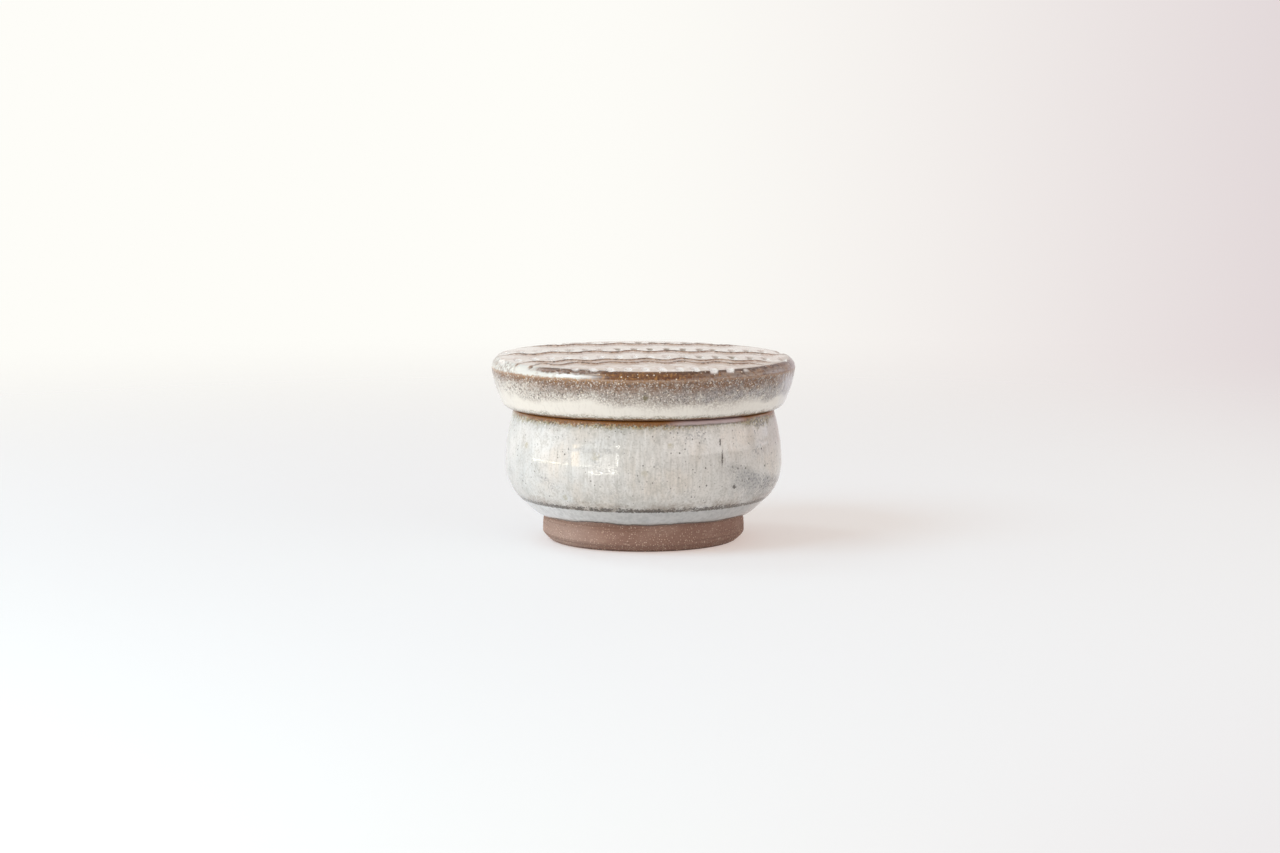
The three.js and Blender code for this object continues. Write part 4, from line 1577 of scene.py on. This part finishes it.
@dataclass
class Studio:
    """A pale floor that fades to white, soft light from a window on the left, and the camera.

    Lengths are in metres and angles in degrees.
    """

    lens: float = 75.0
    sensor: float = 36.0
    clip_start: float = 0.01
    distance: float = 0.877
    eye_height: float = 0.1389
    eye_shift: float = -0.00112
    pitch: float = 6.62
    floor_colour: str = "#EFF0F1"
    shown_colour: str = "#B3CBD3"
    paper_roughness: float = 0.95
    glow_colour: str = "#FFE3D7"
    glow: float = 0.49
    left_white: str = "#FEFDF8"
    right_white: str = "#DACDD0"
    white_span: Point = (-0.05, 0.36)
    shade_colour: str = "#FFF2EA"
    shade_level: float = 0.47
    floor_size: float = 14.0
    floor_drop: float = 0.0001
    fade_start: float = 0.14
    fade_end: float = 0.85
    aim: Place = (0.0, 0.0, 0.035)
    lamps: tuple[Lamp, ...] = (
        Lamp("window_key", azimuth=58, elevation=39, distance=1.4, width=0.8, height=0.7, power=9.2,
             colour="#DDEDFC"),
        Lamp("window_side", azimuth=96, elevation=20, distance=1.4, width=2.2, height=1.0, power=2.4,
             colour="#F4F8FF"),
        Lamp("window_near_pane", azimuth=36, elevation=4.0, distance=0.5, width=0.277, height=0.11,
             power=0.25, colour="#FFFDF4"),
        Lamp("window_near_sill", azimuth=36, elevation=-2.6, distance=0.49, width=0.277, height=0.006,
             power=0.075, colour="#FFFDF4"),
        Lamp("window_near_post", azimuth=20.5, elevation=4.2, distance=0.49, width=0.007, height=0.11,
             power=0.055, colour="#FFFDF4"),
        Lamp("window_middle", azimuth=55, elevation=3.4, distance=0.5, width=0.06, height=0.11, power=0.13,
             colour="#FFDDB0"),
        Lamp("window_far_pane", azimuth=81, elevation=3.2, distance=0.5, width=0.354, height=0.11, power=0.13,
             colour="#FFF8E8"),
        Lamp("window_far_sill", azimuth=81, elevation=-2.6, distance=0.49, width=0.354, height=0.007,
             power=0.09, colour="#FFF6DC"),
        Lamp("skylight", azimuth=122, elevation=57, distance=1.4, width=0.22, height=0.6, power=1.8,
             colour="#FFFFFF"),
        Lamp("fill_card", azimuth=-60, elevation=16, distance=1.3, width=2.0, height=0.46, power=5.0,
             colour="#FBF4F0"),
        Lamp("back_card", azimuth=-118, elevation=14, distance=1.2, width=0.5, height=0.5, power=0.9,
             colour="#EEF2FF"))

    def camera(self) -> None:
        """Sets the camera where the photograph was taken from."""
        eye = bpy.data.objects.new("camera", bpy.data.cameras.new("camera"))
        eye.data.lens, eye.data.sensor_width = self.lens, self.sensor
        eye.data.clip_start = self.clip_start
        eye.location = (self.eye_shift, -self.distance, self.eye_height)
        eye.rotation_euler = (math.radians(90 - self.pitch), 0.0, 0.0)
        bpy.context.scene.collection.objects.link(eye)
        bpy.context.scene.camera = eye

    def floor(self) -> bpy.types.Object:
        """Lays the floor.

        Returns:
            The floor.
        """
        half = self.floor_size / 2
        corners = [(-half, -half, 0), (half, -half, 0), (half, half, 0), (-half, half, 0)]
        mesh = bpy.data.meshes.new("floor")
        mesh.from_pydata(corners, [], [(0, 1, 2, 3)])
        mesh.materials.append(self.paper())
        floor = bpy.data.objects.new("floor", mesh)
        floor.location.z = -self.floor_drop
        bpy.context.scene.collection.objects.link(floor)
        return floor

    def seen(self, tree: bpy.types.NodeTree) -> bpy.types.Node:
        """Adds what tells rays that show the room from rays that light it.

        Args:
            tree: the tree of a stage material or of the world.

        Returns:
            A node that is 1 for camera, glossy and transmission rays.
        """
        path = add_node(tree, "ShaderNodeLightPath").outputs
        shown = add_node(tree, "ShaderNodeMath", {0: path["Is Camera Ray"], 1: path["Is Glossy Ray"]},
                         operation="MAXIMUM")
        return add_node(tree, "ShaderNodeMath", {0: shown, 1: path["Is Transmission Ray"]},
                        operation="MAXIMUM")

    def paper(self) -> bpy.types.Material:
        """Makes the floor's matt white paper, which glows a little and fades into the room far from the jar.

        Returns:
            The paper's material.
        """
        paper = bpy.data.materials.new("matt_paper")
        paper.use_nodes = True
        tree = paper.node_tree
        shown = self.seen(tree)
        shader = next(node for node in tree.nodes if node.type == "BSDF_PRINCIPLED")
        sheet = add_node(tree, "ShaderNodeMix", {"Factor": shown, "A": linear(self.floor_colour),
                                                 "B": linear(self.shown_colour)}, data_type="RGBA")
        tree.links.new(sheet.outputs["Result"], shader.inputs["Base Color"])
        shader.inputs["Roughness"].default_value = self.paper_roughness
        shader.inputs["Specular IOR Level"].default_value = 0.0
        shader.inputs["Emission Color"].default_value = linear(self.glow_colour)
        glow = add_node(tree, "ShaderNodeMath", {0: shown, 1: self.glow}, operation="MULTIPLY")
        tree.links.new(glow.outputs[0], shader.inputs["Emission Strength"])
        place = add_node(tree, "ShaderNodeTexCoord").outputs["Object"]
        away = add_node(tree, "ShaderNodeVectorMath", {0: place}, operation="LENGTH").outputs["Value"]
        fade = add_node(tree, "ShaderNodeMapRange", {"Value": away, "From Min": self.fade_start,
                                                     "From Max": self.fade_end},
                        interpolation_type="SMOOTHSTEP")
        part = add_node(tree, "ShaderNodeMath", {0: fade, 1: shown}, operation="MULTIPLY")
        mixed = add_node(tree, "ShaderNodeMixShader", {0: part, 1: shader,
                                                       2: add_node(tree, "ShaderNodeBsdfTransparent")})
        end = next(node for node in tree.nodes if node.type == "OUTPUT_MATERIAL")
        tree.links.new(mixed.outputs[0], end.inputs["Surface"])
        return paper

    def room(self) -> None:
        """Fills the room with soft light, and shows it to camera and glaze as white, dimmer on the right."""
        world = bpy.data.worlds.new("room")
        world.use_nodes = True
        bpy.context.scene.world = world
        tree = world.node_tree
        shown = self.seen(tree)
        way = add_node(tree, "ShaderNodeTexCoord").outputs["Generated"]
        right = add_node(tree, "ShaderNodeSeparateXYZ", {0: way}).outputs["X"]
        across = add_node(tree, "ShaderNodeMapRange", {"Value": right, "From Min": self.white_span[0],
                                                       "From Max": self.white_span[1]},
                          interpolation_type="SMOOTHSTEP")
        white = add_node(tree, "ShaderNodeMix", {"Factor": across, "A": linear(self.left_white),
                                                 "B": linear(self.right_white)}, data_type="RGBA")
        colour = add_node(tree, "ShaderNodeMix", {"Factor": shown, "A": linear(self.shade_colour),
                                                  "B": white}, data_type="RGBA")
        strength = add_node(tree, "ShaderNodeMix", {"Factor": shown, "A": self.shade_level, "B": 1.0},
                            data_type="FLOAT")
        ground = next(node for node in tree.nodes if node.type == "BACKGROUND")
        for label, node in (("Color", colour), ("Strength", strength)):
            tree.links.new(next(each for each in node.outputs if each.enabled), ground.inputs[label])

    def build(self) -> bpy.types.Object:
        """Sets up the camera, the light and the floor.

        Returns:
            The floor.
        """
        bpy.context.scene.view_settings.view_transform = "Standard"
        self.camera()
        self.room()
        for lamp in self.lamps:
            lamp.hang(self.aim)
        return self.floor()


def hand_over(piece: bpy.types.Object, body: str, node: str | None = None) -> None:
    """Ties a finished piece to the body it moves with.

    Args:
        piece: the finished piece.
        body: the body that carries it.
        node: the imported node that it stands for, or none.
    """
    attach(piece, body)
    if node:
        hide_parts(node)
    check = bmesh.new()
    check.from_mesh(piece.data)
    volume = check.calc_volume(signed=True) * CUBIC_CM
    loose = sum(1 for edge in check.edges if not edge.is_manifold)
    check.free()
    triangles = sum(len(face.vertices) - 2 for face in piece.data.polygons)
    log.info("%s: %d triangles, %.1f cm3, %d open edges", piece.name, triangles, volume, loose)


def main() -> None:
    """Builds the jar, its grog, the lid and the studio."""
    logging.basicConfig(level=logging.INFO, format="%(name)s: %(message)s")
    low, high = (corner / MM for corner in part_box("jar_body"))
    clay = StonewareClay()
    jar = JarBody(belly_radius=(high.x - low.x) / 2, height=high.z)
    body = jar.build(MilkAshGlaze(), clay)
    hand_over(body, "jar", "jar_body")
    hand_over(jar.strew(body, GrogGrain()), "jar")
    lid = Lid(jar).build(BreakingGlaze(), clay)
    hand_over(lid, "lid", "lid")
    Studio().build()


if __name__ == "__main__":
    main()
